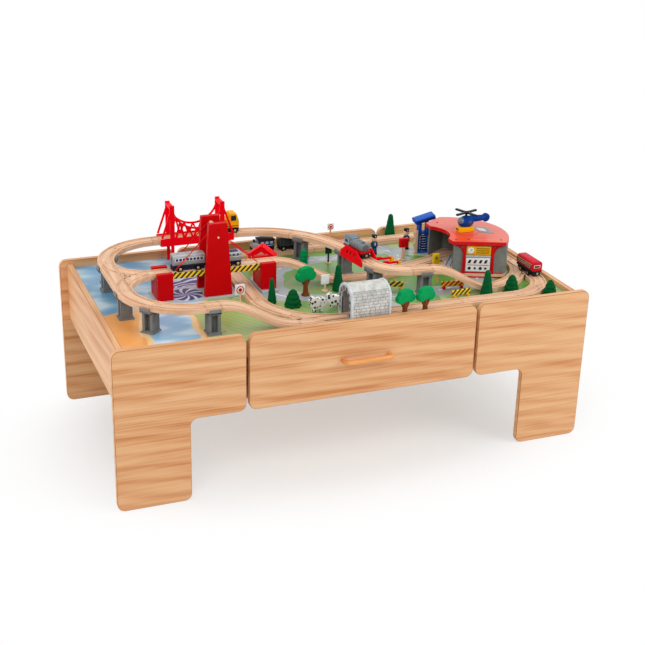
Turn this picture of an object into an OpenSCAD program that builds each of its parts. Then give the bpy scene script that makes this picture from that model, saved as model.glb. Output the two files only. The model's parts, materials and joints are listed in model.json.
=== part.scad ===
// Train table: panel table with a drawer, a play board and a wooden train set on it.
// Millimetres, +Z up. The origin is on the floor, in the middle of the outer box.
// Lengths along X run with the table's width, lengths along Y with its depth.

/* [Table] */
// Width over the corner panels
table_w = 1180; // [1170:10:1300]
// Depth over the front and back panels
table_d = 610; // [604:2:680]
// Height of the panel tops above the floor
table_h = 390; // [350:5:450]
// Thickness of panels, end boards and the drawer front
panel_t = 15; // [12:1:18]
// Width of one corner panel
corner_w = 301; // [260:1:340]
// Width of one leg
leg_w = 171; // [120:1:200]
// Height of the aprons and of the drawer front
apron_h = 185; // [180:1:220]
// Rounding of the panel corners
corner_r = 18; // [8:1:30]
// Gap between the drawer front and its neighbours
front_gap = 7; // [3:0.5:10]
// Set-back of the end boards from the panel ends
end_inset = 18; // [10:1:24]
// Height of an end board
end_h = 148; // [120:1:170]
// Drop of the end boards below the panel tops
end_drop = 10; // [5:1:20]
// Height of the rim around the play board
rim_h = 20; // [15:1:30]
// Thickness of the play board
board_t = 12; // [9:1:15]
// Section of the rails under the play board: width
rail_w = 18; // [12:1:30]
// Section of the rails under the play board: height
rail_h = 30; // [20:1:34]
// Radius of the wooden dowels in the corners
dowel_r = 4; // [3:0.5:5]
// Length of a dowel
dowel_len = 26; // [20:1:40]

/* [Drawer] */
// Length of the drawer box behind the front
drawer_len = 520; // [400:10:540]
// Height of the drawer box
drawer_box_h = 92; // [70:1:94]
// Thickness of the drawer walls
drawer_wall_t = 12; // [9:1:15]
// Thickness of the drawer bottom
drawer_bottom_t = 5; // [3:1:8]
// Height of the drawer box above the lower edge of the front
drawer_lift = 17; // [10:1:20]
// Thickness of the partitions that carry the runners
partition_t = 12; // [9:1:18]
// Set-back of the partitions from the panel edge
partition_inset = 3; // [1:1:10]
// Width of the space for a runner beside the drawer
runner_space = 12.5; // [10:0.5:16]
// Thickness of the runner's web
runner_web = 2; // [1.5:0.5:3]
// Height of the slide that runs in the runner
slide_h = 18; // [12:1:24]
// Width of the bow handle
handle_w = 126; // [80:1:180]
// Reach of the bow handle in front of the drawer
handle_reach = 26; // [18:1:40]
// Height of the handle's bar
handle_t = 10; // [8:1:16]
// Depth of the handle's bar
handle_bar = 11; // [8:0.5:14]

/* [Track] */
// Width of the wooden track
track_w = 40; // [38:0.5:42]
// Thickness of the wooden track
track_t = 12; // [10:0.5:14]
// Distance between the two grooves
groove_gauge = 26; // [25:0.5:27]
// Width of a groove
groove_w = 7; // [6.5:0.1:7.5]
// Depth of a groove
groove_d = 3; // [2.5:0.1:4]
// Gap between two joined track pieces
joint_gap = 0.6; // [0.4:0.1:0.9]
// Radius of a connecting peg
peg_r = 6; // [4:0.5:7]
// Distance of a peg's head from the end of its piece
peg_reach = 12; // [10:0.5:15]
// Play of a peg in its socket
peg_play = 0.4; // [0.3:0.1:0.8]
// Height of the bridge piers
pier_h = 56; // [52:1:70]

/* [Track plan] */
// Distance of the raised left straight from the left end board
loop_margin = 51; // [45:1:60]
// Radius of the raised left curves
loop_r = 146; // [130:1:150]
// Half length of the left switch, also the radius of its branches
wye_half = 92; // [85:1:96]
// Place of the drawbridge axis along Y
bridge_y = 15; // [10:1:18]
// Distance of the right-hand straight from the right end board
side_margin = 32; // [28:1:40]
// Distance of the ground straight from the back panels
back_margin = 58; // [56:1:60]
// Distance of the ground straight from the front panels
front_margin = 40; // [36:1:44]
// Length of the suspension bridge
suspension_len = 220; // [205:1:230]
// Length of the raised straight before the front ramp
loop_lead = 36; // [30:1:44]
// Radius of the raised curve behind the suspension bridge
sweep_r = 212; // [205:1:218]
// Radius of the raised curve before the girder bridge
sweep_end_r = 272; // [266:1:278]
// Turn of these two curves together
sweep_turn = 82; // [80:1:84]
// Length of the girder bridge
girder_len = 104; // [100:1:110]
// Radius of the raised curve after the girder bridge
hook_r = 90; // [80:1:100]
// Turn of that curve
hook_turn = 74; // [70:1:78]
// Length of the raised straight at the last pier
pier_straight = 52; // [46:1:56]
// Distance of the ground straight under the drawbridge from the towers' middle
under_off = 73.5; // [70:0.5:76]
// Radius of the ground curve behind the drawbridge
under_back_r = 85; // [80:1:90]
// Radius of the ground curve in front of the drawbridge
under_front_r = 165; // [160:1:170]
// Radius of the front right-hand ground curve
corner_front_r = 107; // [100:1:112]
// Radius of the back right-hand ground curve
corner_back_r = 100; // [90:1:110]
// Radius of the branch that joins the right-hand straight
merge_r = 150; // [145:1:160]
// Length of the right-hand switch
merge_len = 115; // [110:1:125]
// Height of the middle line along Y
middle_y = -16; // [-20:1:-12]
// Length of the middle ramp over the ground
middle_run = 189; // [180:1:200]
// Length of the middle line's first straight
middle_lead = 60; // [54:1:66]
// Radius of the middle line's curve
middle_r = 200; // [190:1:210]
// Turn of the middle line's curve
middle_turn = 20; // [18:1:21]

/* [Drawbridge] */
// Length of the drawbridge with its two abutments
bridge_len = 295; // [290:1:305]
// Length of an abutment along the track
abutment_len = 38; // [34:1:42]
// Width of a tower at its foot
tower_foot = 68; // [60:1:74]
// Width of a tower at its head
tower_head = 45; // [40:1:56]
// Thickness of a tower
tower_t = 15; // [12:1:18]
// Height of the towers above the play board
tower_h = 186; // [170:1:200]
// Distance of a leaf's hinge from the middle of the towers
hinge_off = 9; // [8:0.5:12]
// Radius of the hinge pins
hinge_r = 2; // [1.5:0.25:3]
// Depth of a leaf's striped side beams
beam_h = 14; // [13:0.5:18]
// Thickness of a leaf's side beams
beam_t = 3; // [2:0.5:4]
// Radius of the winder dowel
winder_r = 5; // [4:0.5:6]
// Radius of the lifting cords
cord_r = 1.6; // [1:0.1:1.8]

/* [Station] */
// Place of the station's front left corner, left of the right-hand straight
station_dx = 168; // [164:1:172]
// Place of the station's front left corner along Y
station_y = -78; // [-82:1:-74]
// Turn of the station's front
station_turn = -22; // [-25:1:-20]
// Radius of the station's rounded back
station_r = 140; // [136:1:142]
// Height of the station walls above their plinth
station_h = 76; // [70:1:90]
// Thickness of the plinth
plinth_t = 12; // [10:0.5:14]
// Thickness of the walls
wall_t = 4; // [3:0.5:6]
// Thickness of the roof
roof_t = 10; // [6:1:14]
// Overhang of the roof
eave = 7; // [4:1:9]

/* [Rolling stock] */
// Radius of a wheel
wheel_r = 7.5; // [7:0.1:8]
// Width of a wheel's tread
wheel_w = 3.6; // [3:0.1:4]
// Radius of an axle
axle_r = 1.5; // [1.2:0.1:2]
// Width of the bodies
stock_w = 31; // [28:0.5:33]
// Radius of the magnet couplers
magnet_r = 4; // [3:0.25:4.5]

/* [Fits] */
// Gap between parts that move past each other
run_gap = 0.3; // [0.25:0.05:0.5]
// Radial clearance of an axle or pin in its bore
pin_fit = 0.06; // [0.04:0.01:0.1]
// Gap between glued or seated parts that stay separate pieces
seat_gap = 0.2; // [0.1:0.05:0.3]

/* [Hidden] */
$fn = 48;

// Inner faces of the rim and the main heights
inner_x = table_w / 2 - end_inset - panel_t;
inner_y = table_d / 2 - panel_t;
board_top = table_h - rim_h;
rail_top = board_top - board_t;
apron_z = table_h - apron_h;
drawer_half = table_w / 2 - corner_w - front_gap;
partition_x = table_w / 2 - corner_w + partition_inset;
side_x_out = partition_x - runner_space;
drawer_z = apron_z + drawer_lift;
runner_z = drawer_z + drawer_box_h / 2;
slot_x = partition_x - runner_web;
front_clear = 2 * run_gap;

// Track heights and the driving points of the plan
ground_z = board_top;
raised_z = board_top + pier_h;
ground_rail = ground_z + track_t;
raised_rail = raised_z + track_t;
loop_x = loop_margin - inner_x;
side_x = inner_x - side_margin;
back_y = inner_y - back_margin;
front_y = front_margin - inner_y;
wye_back = bridge_y + wye_half;
wye_front = bridge_y - wye_half;
bridge_x0 = loop_x + wye_half;
bridge_x1 = bridge_x0 + bridge_len;
tower_x = (bridge_x0 + bridge_x1) / 2;
under_x = tower_x + under_off;
middle_x = bridge_x1 + middle_run;
leaf_len = bridge_len / 2 - abutment_len - hinge_off;
tower_y = track_w / 2 + beam_t + run_gap + 1;
hinge_z = raised_z + track_t / 2 - 1;
winder_z = board_top + tower_h - 16;

// A pose is [x, y, heading]. A stretch of track is [x, y, heading, length, turn].
function straight(pose, len) = [pose[0], pose[1], pose[2], len, 0];
function curve(pose, r, turn) = [pose[0], pose[1], pose[2], r * abs(turn) * PI / 180, turn];
function bend_r(s) = s[3] * 180 / (PI * s[4]);
function finish(s) = s[4] == 0
  ? [s[0] + s[3] * cos(s[2]), s[1] + s[3] * sin(s[2]), s[2]]
  : [s[0] + bend_r(s) * (sin(s[2] + s[4]) - sin(s[2])),
     s[1] - bend_r(s) * (cos(s[2] + s[4]) - cos(s[2])), s[2] + s[4]];
function beyond(pose, d) = [pose[0] + d * cos(pose[2]), pose[1] + d * sin(pose[2]), pose[2]];
function turned(pose) = [pose[0], pose[1], pose[2] + 180];

// Raised line, from the left switch round to the last pier
loop_back_a = curve([loop_x, wye_back, 90], loop_r, -45);
loop_back_b = curve(finish(loop_back_a), loop_r, -45);
loop_front_a = curve([loop_x, wye_front, -90], loop_r, 45);
loop_front_b = curve(finish(loop_front_a), loop_r, 45);
loop_front_c = straight(finish(loop_front_b), loop_lead);
suspension = straight(finish(loop_back_b), suspension_len);
sweep_a = curve(finish(suspension), sweep_r, -sweep_turn / 2);
sweep_b = curve(finish(sweep_a), sweep_end_r, -sweep_turn / 2);
girder = straight(finish(sweep_b), girder_len);
hook = curve(finish(girder), hook_r, hook_turn);
last_straight = straight(finish(hook), pier_straight);
wye_leg = straight([loop_x, wye_front, 90], 2 * wye_half);
wye_back_branch = curve([loop_x, wye_back, -90], wye_half, 90);
wye_front_branch = curve([loop_x, wye_front, 90], wye_half, -90);

// Ground line, from the back straight round to the right-hand side
under_back_a = curve([under_x + under_back_r, back_y, 180], under_back_r, 45);
under_back_b = curve(finish(under_back_a), under_back_r, 45);
under_end = front_y + under_front_r;
under_half = (finish(under_back_b)[1] - under_end) / 2;
under_a = straight(finish(under_back_b), under_half);
under_b = straight(finish(under_a), under_half);
under_front_a = curve(finish(under_b), under_front_r, 45);
under_front_b = curve(finish(under_front_a), under_front_r, 45);
front_start = finish(under_front_b);
front_join = [finish(under_front_a)[0], front_y, 0];
front_link = straight(front_join, front_start[0] - front_join[0]);
front_third = (side_x - corner_front_r - front_start[0]) / 3;
corner_front_a = curve([side_x - corner_front_r, front_y, 0], corner_front_r, 45);
corner_front_b = curve(finish(corner_front_a), corner_front_r, 45);
merge_main = straight(finish(corner_front_b), merge_len);
merge_branch = curve(turned(finish(merge_main)), merge_r, -45);
merge_curve = curve(finish(merge_branch), merge_r, -37);
right_len = back_y - corner_back_r - finish(merge_main)[1];
right_side = straight(finish(merge_main), right_len);
corner_back_a = curve(finish(right_side), corner_back_r, 45);
corner_back_b = curve(finish(corner_back_a), corner_back_r, 45);
back_third = (finish(corner_back_b)[0] - under_x - under_back_r) / 3;

// Middle line, from the drawbridge into the station
station_x = side_x - station_dx;
station_mid = station_y + 118;
middle_start = [middle_x, middle_y, 0];
middle_a = straight(middle_start, middle_lead);
middle_b = curve(finish(middle_a), middle_r, middle_turn);
middle_reach = station_x - 1 - track_w / 2 * sin(middle_turn) - finish(middle_b)[0];
middle_c = straight(finish(middle_b), middle_reach / cos(middle_turn));

// Ramps: [start pose, start height, end pose, end height]
ramp_front = [finish(loop_front_c), raised_z, front_join, ground_z];
ramp_middle = [[bridge_x1, bridge_y, 0], raised_z, middle_start, ground_z];
ramp_right = [finish(last_straight), raised_z, turned(finish(merge_curve)), ground_z];

// Rolling stock: pose and rail height of each vehicle's middle
wheel_z = wheel_r - groove_d + run_gap;
coach_len = 86;
tender_len = 46;
loco_len = 66;
wagon_len = 60;
steam_len = 92;
truck_len = 66;
red_len = 84;
coach_base = 44;
tender_base = 22;
loco_base = 36;
wagon_base = 32;
steam_base = 48;
truck_base = 36;
red_base = 34;
coach_pose = [tower_x - hinge_off - 13 - coach_len / 2, bridge_y, 0];
tender_pose = [tower_x + hinge_off + 13 + tender_len / 2, bridge_y, 180];
loco_pose = [under_x + under_back_r + 4 + loco_len / 2, back_y, 180];
wagon_pose = [loco_pose[0] + loco_len / 2 + 9 + wagon_len / 2, back_y, 180];
steam_pose = beyond(girder, girder_len / 2 - 8);
truck_pose = [finish(suspension)[0] + 12 - truck_len / 2, finish(suspension)[1], 0];
red_pose = beyond(merge_main, red_base / 2 + 3);
body_z = wheel_z + wheel_r + run_gap + 0.3;

// Puts the table's middle so that the outer box, handle included, is centred
module placed() {
  translate([0, handle_reach / 2, 0]) children();
}

module at_pose(pose, z) {
  translate([pose[0], pose[1], z]) rotate(pose[2]) children();
}

// Rectangle with true round corners, its lower left corner at the origin
module rounded_rect(w, h, r) {
  translate([r, 0]) square([w - 2 * r, h]);
  translate([0, r]) square([w, h - 2 * r]);
  for (x = [r, w - r], y = [r, h - r])
    translate([x, y]) circle(r);
}

// Flat panel that stands upright, drawn in X and Z, its back face on Y = 0
module upright(t) {
  rotate([90, 0, 0]) linear_extrude(t) children();
}

module corner_panel() {
  upright(panel_t) {
    rounded_rect(leg_w, table_h, corner_r);
    translate([0, apron_z]) rounded_rect(corner_w, apron_h, corner_r);
    translate([leg_w, apron_z - corner_r]) difference() {
      translate([-1, 0]) square([corner_r + 1, corner_r + 1]);
      translate([corner_r, 0]) circle(corner_r);
    }
  }
}

// Axes of the dowels between panels and end boards, pointing along Y
dowel_x = table_w / 2 - end_inset - panel_t / 2;
module corner_dowels(r, len) {
  for (x = [-dowel_x, dowel_x], y = [-inner_y, inner_y], k = [0.25, 0.75])
    translate([x, y, table_h - end_drop - end_h * k]) rotate([90, 0, 0])
      cylinder(r = r, h = len, center = true);
}

module corner_panels_front() {
  color("burlywood") placed() difference() {
    for (side = [0, 1]) mirror([side, 0, 0])
      translate([-table_w / 2, -inner_y, 0]) corner_panel();
    corner_dowels(dowel_r + seat_gap, dowel_len / 2 + 4);
  }
}

module panels_back() {
  color("burlywood") placed() difference() {
    union() {
      for (side = [0, 1]) mirror([side, 0, 0])
        translate([-table_w / 2, table_d / 2, 0]) corner_panel();
      translate([-drawer_half, table_d / 2, apron_z])
        upright(panel_t) rounded_rect(2 * drawer_half, apron_h, corner_r);
    }
    corner_dowels(dowel_r + seat_gap, dowel_len / 2 + 4);
  }
}

module end_boards() {
  color("burlywood") placed() difference() {
    for (side = [0, 1]) mirror([side, 0, 0])
      translate([-inner_x - panel_t, -inner_y, table_h - end_drop - end_h])
        cube([panel_t, 2 * inner_y, end_h]);
    corner_dowels(dowel_r + seat_gap, dowel_len * 1.5 + 2);
  }
}

module joint_dowels() {
  color("tan") placed() intersection() {
    translate([0, 0, 0]) corner_dowels(dowel_r, dowel_len);
    for (y = [-1, 1])
      translate([-table_w / 2, y * (inner_y - dowel_len / 2 + dowel_len / 4) - dowel_len / 2, 0])
        cube([table_w, dowel_len, table_h]);
  }
}

module play_board() {
  color("lightsteelblue") placed()
    translate([-inner_x, front_clear - inner_y, rail_top])
      cube([2 * inner_x, 2 * inner_y - front_clear, board_t]);
}

module support_frame() {
  color("peru") placed() {
    for (y = [front_clear - inner_y, inner_y - rail_w])
      translate([-inner_x, y, rail_top - rail_h]) cube([2 * inner_x, rail_w, rail_h]);
    for (side = [0, 1]) mirror([side, 0, 0])
      translate([-inner_x, front_clear - inner_y + rail_w + seat_gap, rail_top - rail_h])
        cube([rail_w, 2 * inner_y - front_clear - 2 * rail_w - 2 * seat_gap, rail_h]);
    for (side = [0, 1]) mirror([side, 0, 0])
      translate([partition_x, -inner_y, drawer_z])
        cube([partition_t, 2 * inner_y, rail_top - rail_h - seat_gap - drawer_z]);
  }
}

module drawer_runners() {
  slot_h = slide_h + 2 * run_gap;
  web_h = slot_h + 2 * runner_web;
  color("silver") placed() for (side = [0, 1]) mirror([side, 0, 0]) difference() {
    translate([side_x_out + 2 * run_gap + 1, 4 - inner_y, runner_z - web_h / 2])
      cube([runner_space - 2 * run_gap - 1, drawer_len, web_h]);
    translate([side_x_out, 3 - inner_y, runner_z - slot_h / 2])
      cube([runner_space - runner_web, drawer_len + 2, slot_h]);
  }
}

module drawer_slides() {
  color("gainsboro") placed() for (side = [0, 1]) mirror([side, 0, 0])
    translate([side_x_out, 4 - inner_y, runner_z - slide_h / 2])
      cube([table_w / 2 - corner_w - run_gap - side_x_out, drawer_len - 8, slide_h]);
}

// Tenons of the handle, as axes along Y in the drawer front
module handle_tenons(r, len) {
  for (x = [-1, 1])
    translate([x * (handle_w - handle_bar) / 2, -inner_y - panel_t - 1, apron_z + apron_h / 2])
      rotate([-90, 0, 0]) cylinder(r = r, h = len + 1);
}

module drawer_front() {
  color("burlywood") placed() difference() {
    translate([-drawer_half, -inner_y, apron_z])
      upright(panel_t) rounded_rect(2 * drawer_half, apron_h, corner_r);
    handle_tenons(dowel_r + seat_gap, panel_t - 3);
  }
}

module drawer_handle() {
  inner_w = handle_w - 2 * handle_bar;
  color("sandybrown") placed() {
    handle_tenons(dowel_r, panel_t - 4);
    translate([-handle_w / 2, -table_d / 2 - handle_reach, apron_z + (apron_h - handle_t) / 2])
      linear_extrude(handle_t) difference() {
        union() {
          rounded_rect(handle_w, handle_reach, handle_bar * 0.9);
          translate([0, handle_reach / 2]) square([handle_w, handle_reach / 2]);
        }
        translate([handle_bar, handle_bar]) rounded_rect(inner_w, handle_reach, 4);
      }
  }
}

module drawer_walls() {
  color("tan") placed() {
    for (side = [0, 1]) mirror([side, 0, 0])
      translate([side_x_out - drawer_wall_t, -inner_y, drawer_z])
        cube([drawer_wall_t, drawer_len, drawer_box_h]);
    translate([drawer_wall_t + seat_gap - side_x_out, drawer_len - inner_y - drawer_wall_t, drawer_z])
      cube([2 * (side_x_out - drawer_wall_t - seat_gap), drawer_wall_t, drawer_box_h]);
  }
}

module drawer_bottom() {
  color("wheat") placed()
    translate([drawer_wall_t - side_x_out, -inner_y, drawer_z + 4])
      cube([2 * (side_x_out - drawer_wall_t), drawer_len - drawer_wall_t, drawer_bottom_t]);
}

// Strip along a stretch of track, off to the left of its middle line
module strip(s, off, w, h, trim) {
  if (s[4] == 0)
    at_pose(s, 0) translate([trim, off - w / 2, 0]) cube([s[3] - 2 * trim, w, h]);
  else {
    r = bend_r(s);
    cut = trim * 180 / (PI * abs(r));
    reach = abs(r) - sign(r) * off;
    at_pose(s, 0) translate([0, r, 0])
      rotate(r > 0 ? cut - 90 : 90 + s[4] + cut)
        rotate_extrude(angle = abs(s[4]) - 2 * cut, $fn = 96)
          translate([reach - w / 2, 0]) square([w, h]);
  }
}

module grooves(s) {
  for (y = [-1, 1] * groove_gauge / 2)
    translate([0, 0, track_t - groove_d]) strip(s, y, groove_w, groove_d + 1, -1);
}

// Connecting peg at the end of a piece, and the socket that takes it
module peg(pose, play, h) {
  at_pose(pose, 0) {
    translate([-1, -peg_r / 2 - play, 0]) cube([peg_reach + 1, peg_r + 2 * play, h]);
    translate([peg_reach, 0, 0]) cylinder(r = peg_r + play, h = h);
  }
}

// One flat track piece of one or more stretches, each branch a hair lower than the one before
branch_step = 0.05;
peg_drop = 0.4;
module track_piece(stretches, pegs = [], sockets = []) {
  difference() {
    union() {
      difference() {
        for (i = [0:len(stretches) - 1])
          translate([0, 0, i * branch_step])
            strip(stretches[i], 0, track_w, track_t - 2 * i * branch_step, joint_gap / 2);
        for (i = [0:len(stretches) - 1])
          translate([0, 0, -i * branch_step]) grooves(stretches[i]);
      }
      for (p = pegs)
        translate([0, 0, peg_drop]) peg(p, 0, track_t - 2 * peg_drop);
    }
    for (p = sockets) translate([0, 0, -1]) peg(p, peg_play, track_t + 2);
  }
}

// Plain piece in a row: socket at its start, peg at its end
module link_piece(s) {
  track_piece([s], [finish(s)], [s]);
}

module switch_tracks() {
  color("bisque") placed() {
    translate([0, 0, raised_z])
      track_piece([wye_leg, wye_back_branch, wye_front_branch],
                  [finish(wye_leg), turned(wye_leg)]);
    translate([0, 0, ground_z])
      track_piece([under_front_b, front_link], [finish(front_link)], [under_front_b]);
    translate([0, 0, ground_z])
      track_piece([merge_main, merge_branch], [finish(merge_main)],
                  [merge_main, turned(finish(merge_branch))]);
  }
}

module raised_tracks() {
  color("bisque") placed() translate([0, 0, raised_z]) {
    link_piece(loop_back_a);
    link_piece(loop_back_b);
    link_piece(loop_front_a);
    link_piece(loop_front_b);
    track_piece([loop_front_c], [], [loop_front_c]);
    link_piece(suspension);
    link_piece(sweep_a);
    link_piece(sweep_b);
    link_piece(girder);
    link_piece(hook);
    track_piece([last_straight], [], [last_straight]);
    for (x = [bridge_x0, bridge_x1 - abutment_len])
      track_piece([straight([x, bridge_y, 0], abutment_len)]);
  }
}

module ground_tracks() {
  color("bisque") placed() translate([0, 0, ground_z]) {
    link_piece(under_back_a);
    link_piece(under_back_b);
    link_piece(under_front_a);
    link_piece(corner_front_a);
    link_piece(corner_front_b);
    link_piece(corner_back_a);
    link_piece(corner_back_b);
    track_piece([merge_curve], [turned(merge_curve)]);
    link_piece(middle_b);
    link_piece(under_a);
    link_piece(under_b);
    link_piece(right_side);
    for (k = [0:2]) {
      link_piece(straight([front_start[0] + k * front_third, front_y, 0], front_third));
      link_piece(straight([finish(corner_back_b)[0] - k * back_third, back_y, 180], back_third));
    }
    track_piece([middle_a], [finish(middle_a)]);
    track_piece([middle_c], [], [middle_c]);
  }
}

// Ramp track: its section swept along a smooth line between two poses
ramp_steps = 16;
ramp_pull = 0.42;
function ease(t) = t * t * (3 - 2 * t);
function ramp_span(p) = norm([p[2][0] - p[0][0], p[2][1] - p[0][1]]);
function blend_point(a, b, c, d, t) =
  a * pow(1 - t, 3) + 3 * b * t * pow(1 - t, 2) + 3 * c * t * t * (1 - t) + d * pow(t, 3);
function ramp_point(p, t) =
  let (pull = ramp_span(p) * ramp_pull,
       a = beyond(p[0], 0), b = beyond(p[0], pull), c = beyond(p[2], -pull), d = beyond(p[2], 0))
  [blend_point(a[0], b[0], c[0], d[0], t), blend_point(a[1], b[1], c[1], d[1], t),
   p[1] + (p[3] - p[1]) * ease(t)];
function ramp_heading(p, t) =
  let (a = ramp_point(p, max(t - 0.01, 0)), b = ramp_point(p, min(t + 0.01, 1)))
  atan2(b[1] - a[1], b[0] - a[0]);
half_w = track_w / 2;
groove_in = (groove_gauge - groove_w) / 2;
groove_out = (groove_gauge + groove_w) / 2;
groove_z = track_t - groove_d;
track_section = [
  [-half_w, 0], [half_w, 0], [half_w, track_t], [groove_out, track_t], [groove_out, groove_z],
  [groove_in, groove_z], [groove_in, track_t], [-groove_in, track_t], [-groove_in, groove_z],
  [-groove_out, groove_z], [-groove_out, track_t], [-half_w, track_t]
];

module ramp(p) {
  n = len(track_section);
  margin = joint_gap / 2 / ramp_span(p);
  points = [
    for (i = [0:ramp_steps])
      let (t = margin + (1 - 2 * margin) * i / ramp_steps,
           c = ramp_point(p, t), h = ramp_heading(p, t))
      for (q = track_section)
        [c[0] + q[0] * sin(h), c[1] - q[0] * cos(h), c[2] + q[1]]
  ];
  sides = [
    for (i = [0:ramp_steps - 1], k = [0:n - 1])
      let (a = i * n + k, b = i * n + (k + 1) % n)
      each [[a, b, b + n], [a, b + n, a + n]]
  ];
  first = [for (k = [n - 1:-1:0]) k];
  last = [for (k = [0:n - 1]) ramp_steps * n + k];
  polyhedron(points = points, faces = concat(sides, [first, last]), convexity = 6);
}

module ramp_tracks() {
  color("bisque") placed() {
    ramp(ramp_front);
    ramp(ramp_middle);
    ramp(ramp_right);
  }
}

// Bridge pier: foot, column with a recess on two faces and a cap with lips beside the track
pier_cap = 5;
foot_l = 34;
foot_w = 36;
pier_play = 1.6;
slot_w = 14;
web_t = 3;
lip_t = 2;
lip_h = 7;
module pier(pose) {
  cap_w = track_w + 2 * (lip_t + pier_play);
  at_pose(pose, board_top) {
    translate([-foot_l / 2, -foot_w / 2, 0]) cube([foot_l, foot_w, 4]);
    difference() {
      translate([3 - foot_l / 2, 4 - foot_w / 2, 0]) cube([foot_l - 6, foot_w - 8, pier_h - pier_cap + 1]);
      for (y = [4 - foot_w / 2 - 1, web_t / 2])
        translate([-slot_w / 2, y, 5]) cube([slot_w, foot_w / 2 - 3 - web_t / 2, pier_h - pier_cap - 8]);
    }
    translate([3 - foot_l / 2, -cap_w / 2, pier_h - pier_cap]) cube([foot_l - 6, cap_w, pier_cap]);
    for (y = [-cap_w / 2, cap_w / 2 - lip_t])
      translate([3 - foot_l / 2, y, pier_h - pier_cap]) cube([foot_l - 6, lip_t, pier_cap + lip_h]);
  }
}

module bridge_piers() {
  color("dimgray") placed() {
    pier([loop_x, wye_back, 90]);
    pier([loop_x, wye_front, 90]);
    pier(finish(curve(loop_back_a, loop_r, -26)));
    pier(finish(curve(loop_front_a, loop_r, 41)));
    pier(beyond(finish(loop_front_c), -17));
    pier(finish(curve(sweep_b, sweep_end_r, -6)));
    pier(beyond(girder, -14));
    pier(finish(curve(finish(girder), hook_r, 14)));
    pier(beyond(finish(last_straight), -17));
  }
}

// Drawbridge: two plates on the board, towers and abutment blocks
plate_t = 5;
winder_pin = 2.2;
block_t = 14;
module drawbridge_base() {
  y0 = bridge_y - tower_y - tower_t - 6;
  depth = 2 * (tower_y + tower_t + 6);
  track_side = under_x - track_w / 2 - 2;
  color("gray") placed() {
    translate([bridge_x0 - 4, y0, board_top]) cube([track_side - bridge_x0 + 4, depth, plate_t]);
    translate([bridge_x1 - abutment_len - 2, y0, board_top])
      cube([abutment_len + 4, depth, plate_t]);
    for (x = [bridge_x0, bridge_x1 - abutment_len])
      translate([x, bridge_y - track_w / 2, board_top])
        cube([abutment_len, track_w, pier_h]);
  }
}

module tower_outline() {
  slope = (tower_foot - tower_head) / 2;
  polygon([[-tower_foot / 2, 0], [tower_foot / 2, 0], [tower_foot / 2 - slope, tower_h - plate_t],
           [slope - tower_foot / 2, tower_h - plate_t]]);
}

module drawbridge_towers() {
  block_h = raised_rail - board_top - plate_t + 4;
  block_y = track_w / 2 + seat_gap;
  color("crimson") placed() translate([0, bridge_y, board_top + plate_t]) {
    for (side = [0, 1]) mirror([0, side, 0]) {
      difference() {
        translate([tower_x, tower_y + tower_t, 0]) upright(tower_t) tower_outline();
        for (x = [-hinge_off, hinge_off])
          translate([tower_x + x, tower_y - 1, hinge_z - board_top - plate_t]) rotate([-90, 0, 0])
            cylinder(r = hinge_r + pin_fit, h = tower_t - 4);
        translate([tower_x, tower_y - 1, winder_z - board_top - plate_t]) rotate([-90, 0, 0])
          cylinder(r = winder_pin + pin_fit, h = tower_t + 2);
      }
      for (x = [bridge_x0, bridge_x1 - abutment_len])
        translate([x, block_y, 0]) cube([abutment_len, block_t, block_h]);
    }
  }
}

// Leaf of the drawbridge, drawn from its hinge along +X, hinge axis at the origin
module leaf() {
  rail = raised_rail - hinge_z;
  barrel_r = hinge_r + 2.2;
  pin_len = 2 * (tower_y + tower_t - 8);
  deck_len = leaf_len - run_gap;
  difference() {
    union() {
      translate([barrel_r + 1, -half_w, rail - track_t]) cube([deck_len - barrel_r - 1, track_w, track_t]);
      translate([0, -half_w, -2.5]) cube([barrel_r + 2, track_w, 5]);
      for (y = [-half_w - beam_t, half_w])
        translate([barrel_r + 1, y, rail - beam_h]) cube([deck_len - barrel_r - 2, beam_t, beam_h]);
      rotate([90, 0, 0]) cylinder(r = barrel_r, h = track_w, center = true);
      rotate([90, 0, 0]) cylinder(r = hinge_r, h = pin_len, center = true);
    }
    for (y = [-1, 1] * groove_gauge / 2)
      translate([-barrel_r - 1, y - groove_w / 2, rail - groove_d])
        cube([deck_len + barrel_r + 2, groove_w, groove_d + 1]);
  }
  for (y = [-half_w - beam_t / 2, half_w + beam_t / 2])
    translate([deck_len - 8, y, rail - 3]) cylinder(r = 1.5, h = 8);
}

module left_leaf() {
  color("goldenrod") placed()
    translate([tower_x - hinge_off, bridge_y, hinge_z]) mirror([1, 0, 0]) leaf();
}

module right_leaf() {
  color("goldenrod") placed()
    translate([tower_x + hinge_off, bridge_y, hinge_z]) leaf();
}

// Dowel between the tower heads, turning on thin pins that end just inside the towers' faces
module winder() {
  color("wheat") placed() translate([tower_x, bridge_y, winder_z]) rotate([90, 0, 0]) {
    cylinder(r = winder_r, h = 2 * (tower_y - run_gap), center = true);
    cylinder(r = winder_pin, h = 2 * (tower_y + tower_t - 1), center = true);
  }
}

// A straight cord between two points
module cord(a, b) {
  d = b - a;
  translate(a) rotate([0, acos(d[2] / norm(d)), atan2(d[1], d[0])])
    cylinder(r = cord_r, h = norm(d), $fn = 24);
}

module lift_cords() {
  eye_z = raised_rail + 5 + cord_r + run_gap;
  eye_x = hinge_off + leaf_len - run_gap - 8;
  wrap = (winder_r + cord_r + run_gap) * cos(45);
  color("red") placed() for (side = [-1, 1], y = [-half_w - beam_t / 2, half_w + beam_t / 2])
    cord([tower_x + side * eye_x, bridge_y + y, eye_z],
         [tower_x - wrap, bridge_y + y, winder_z - side * wrap]);
}

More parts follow.
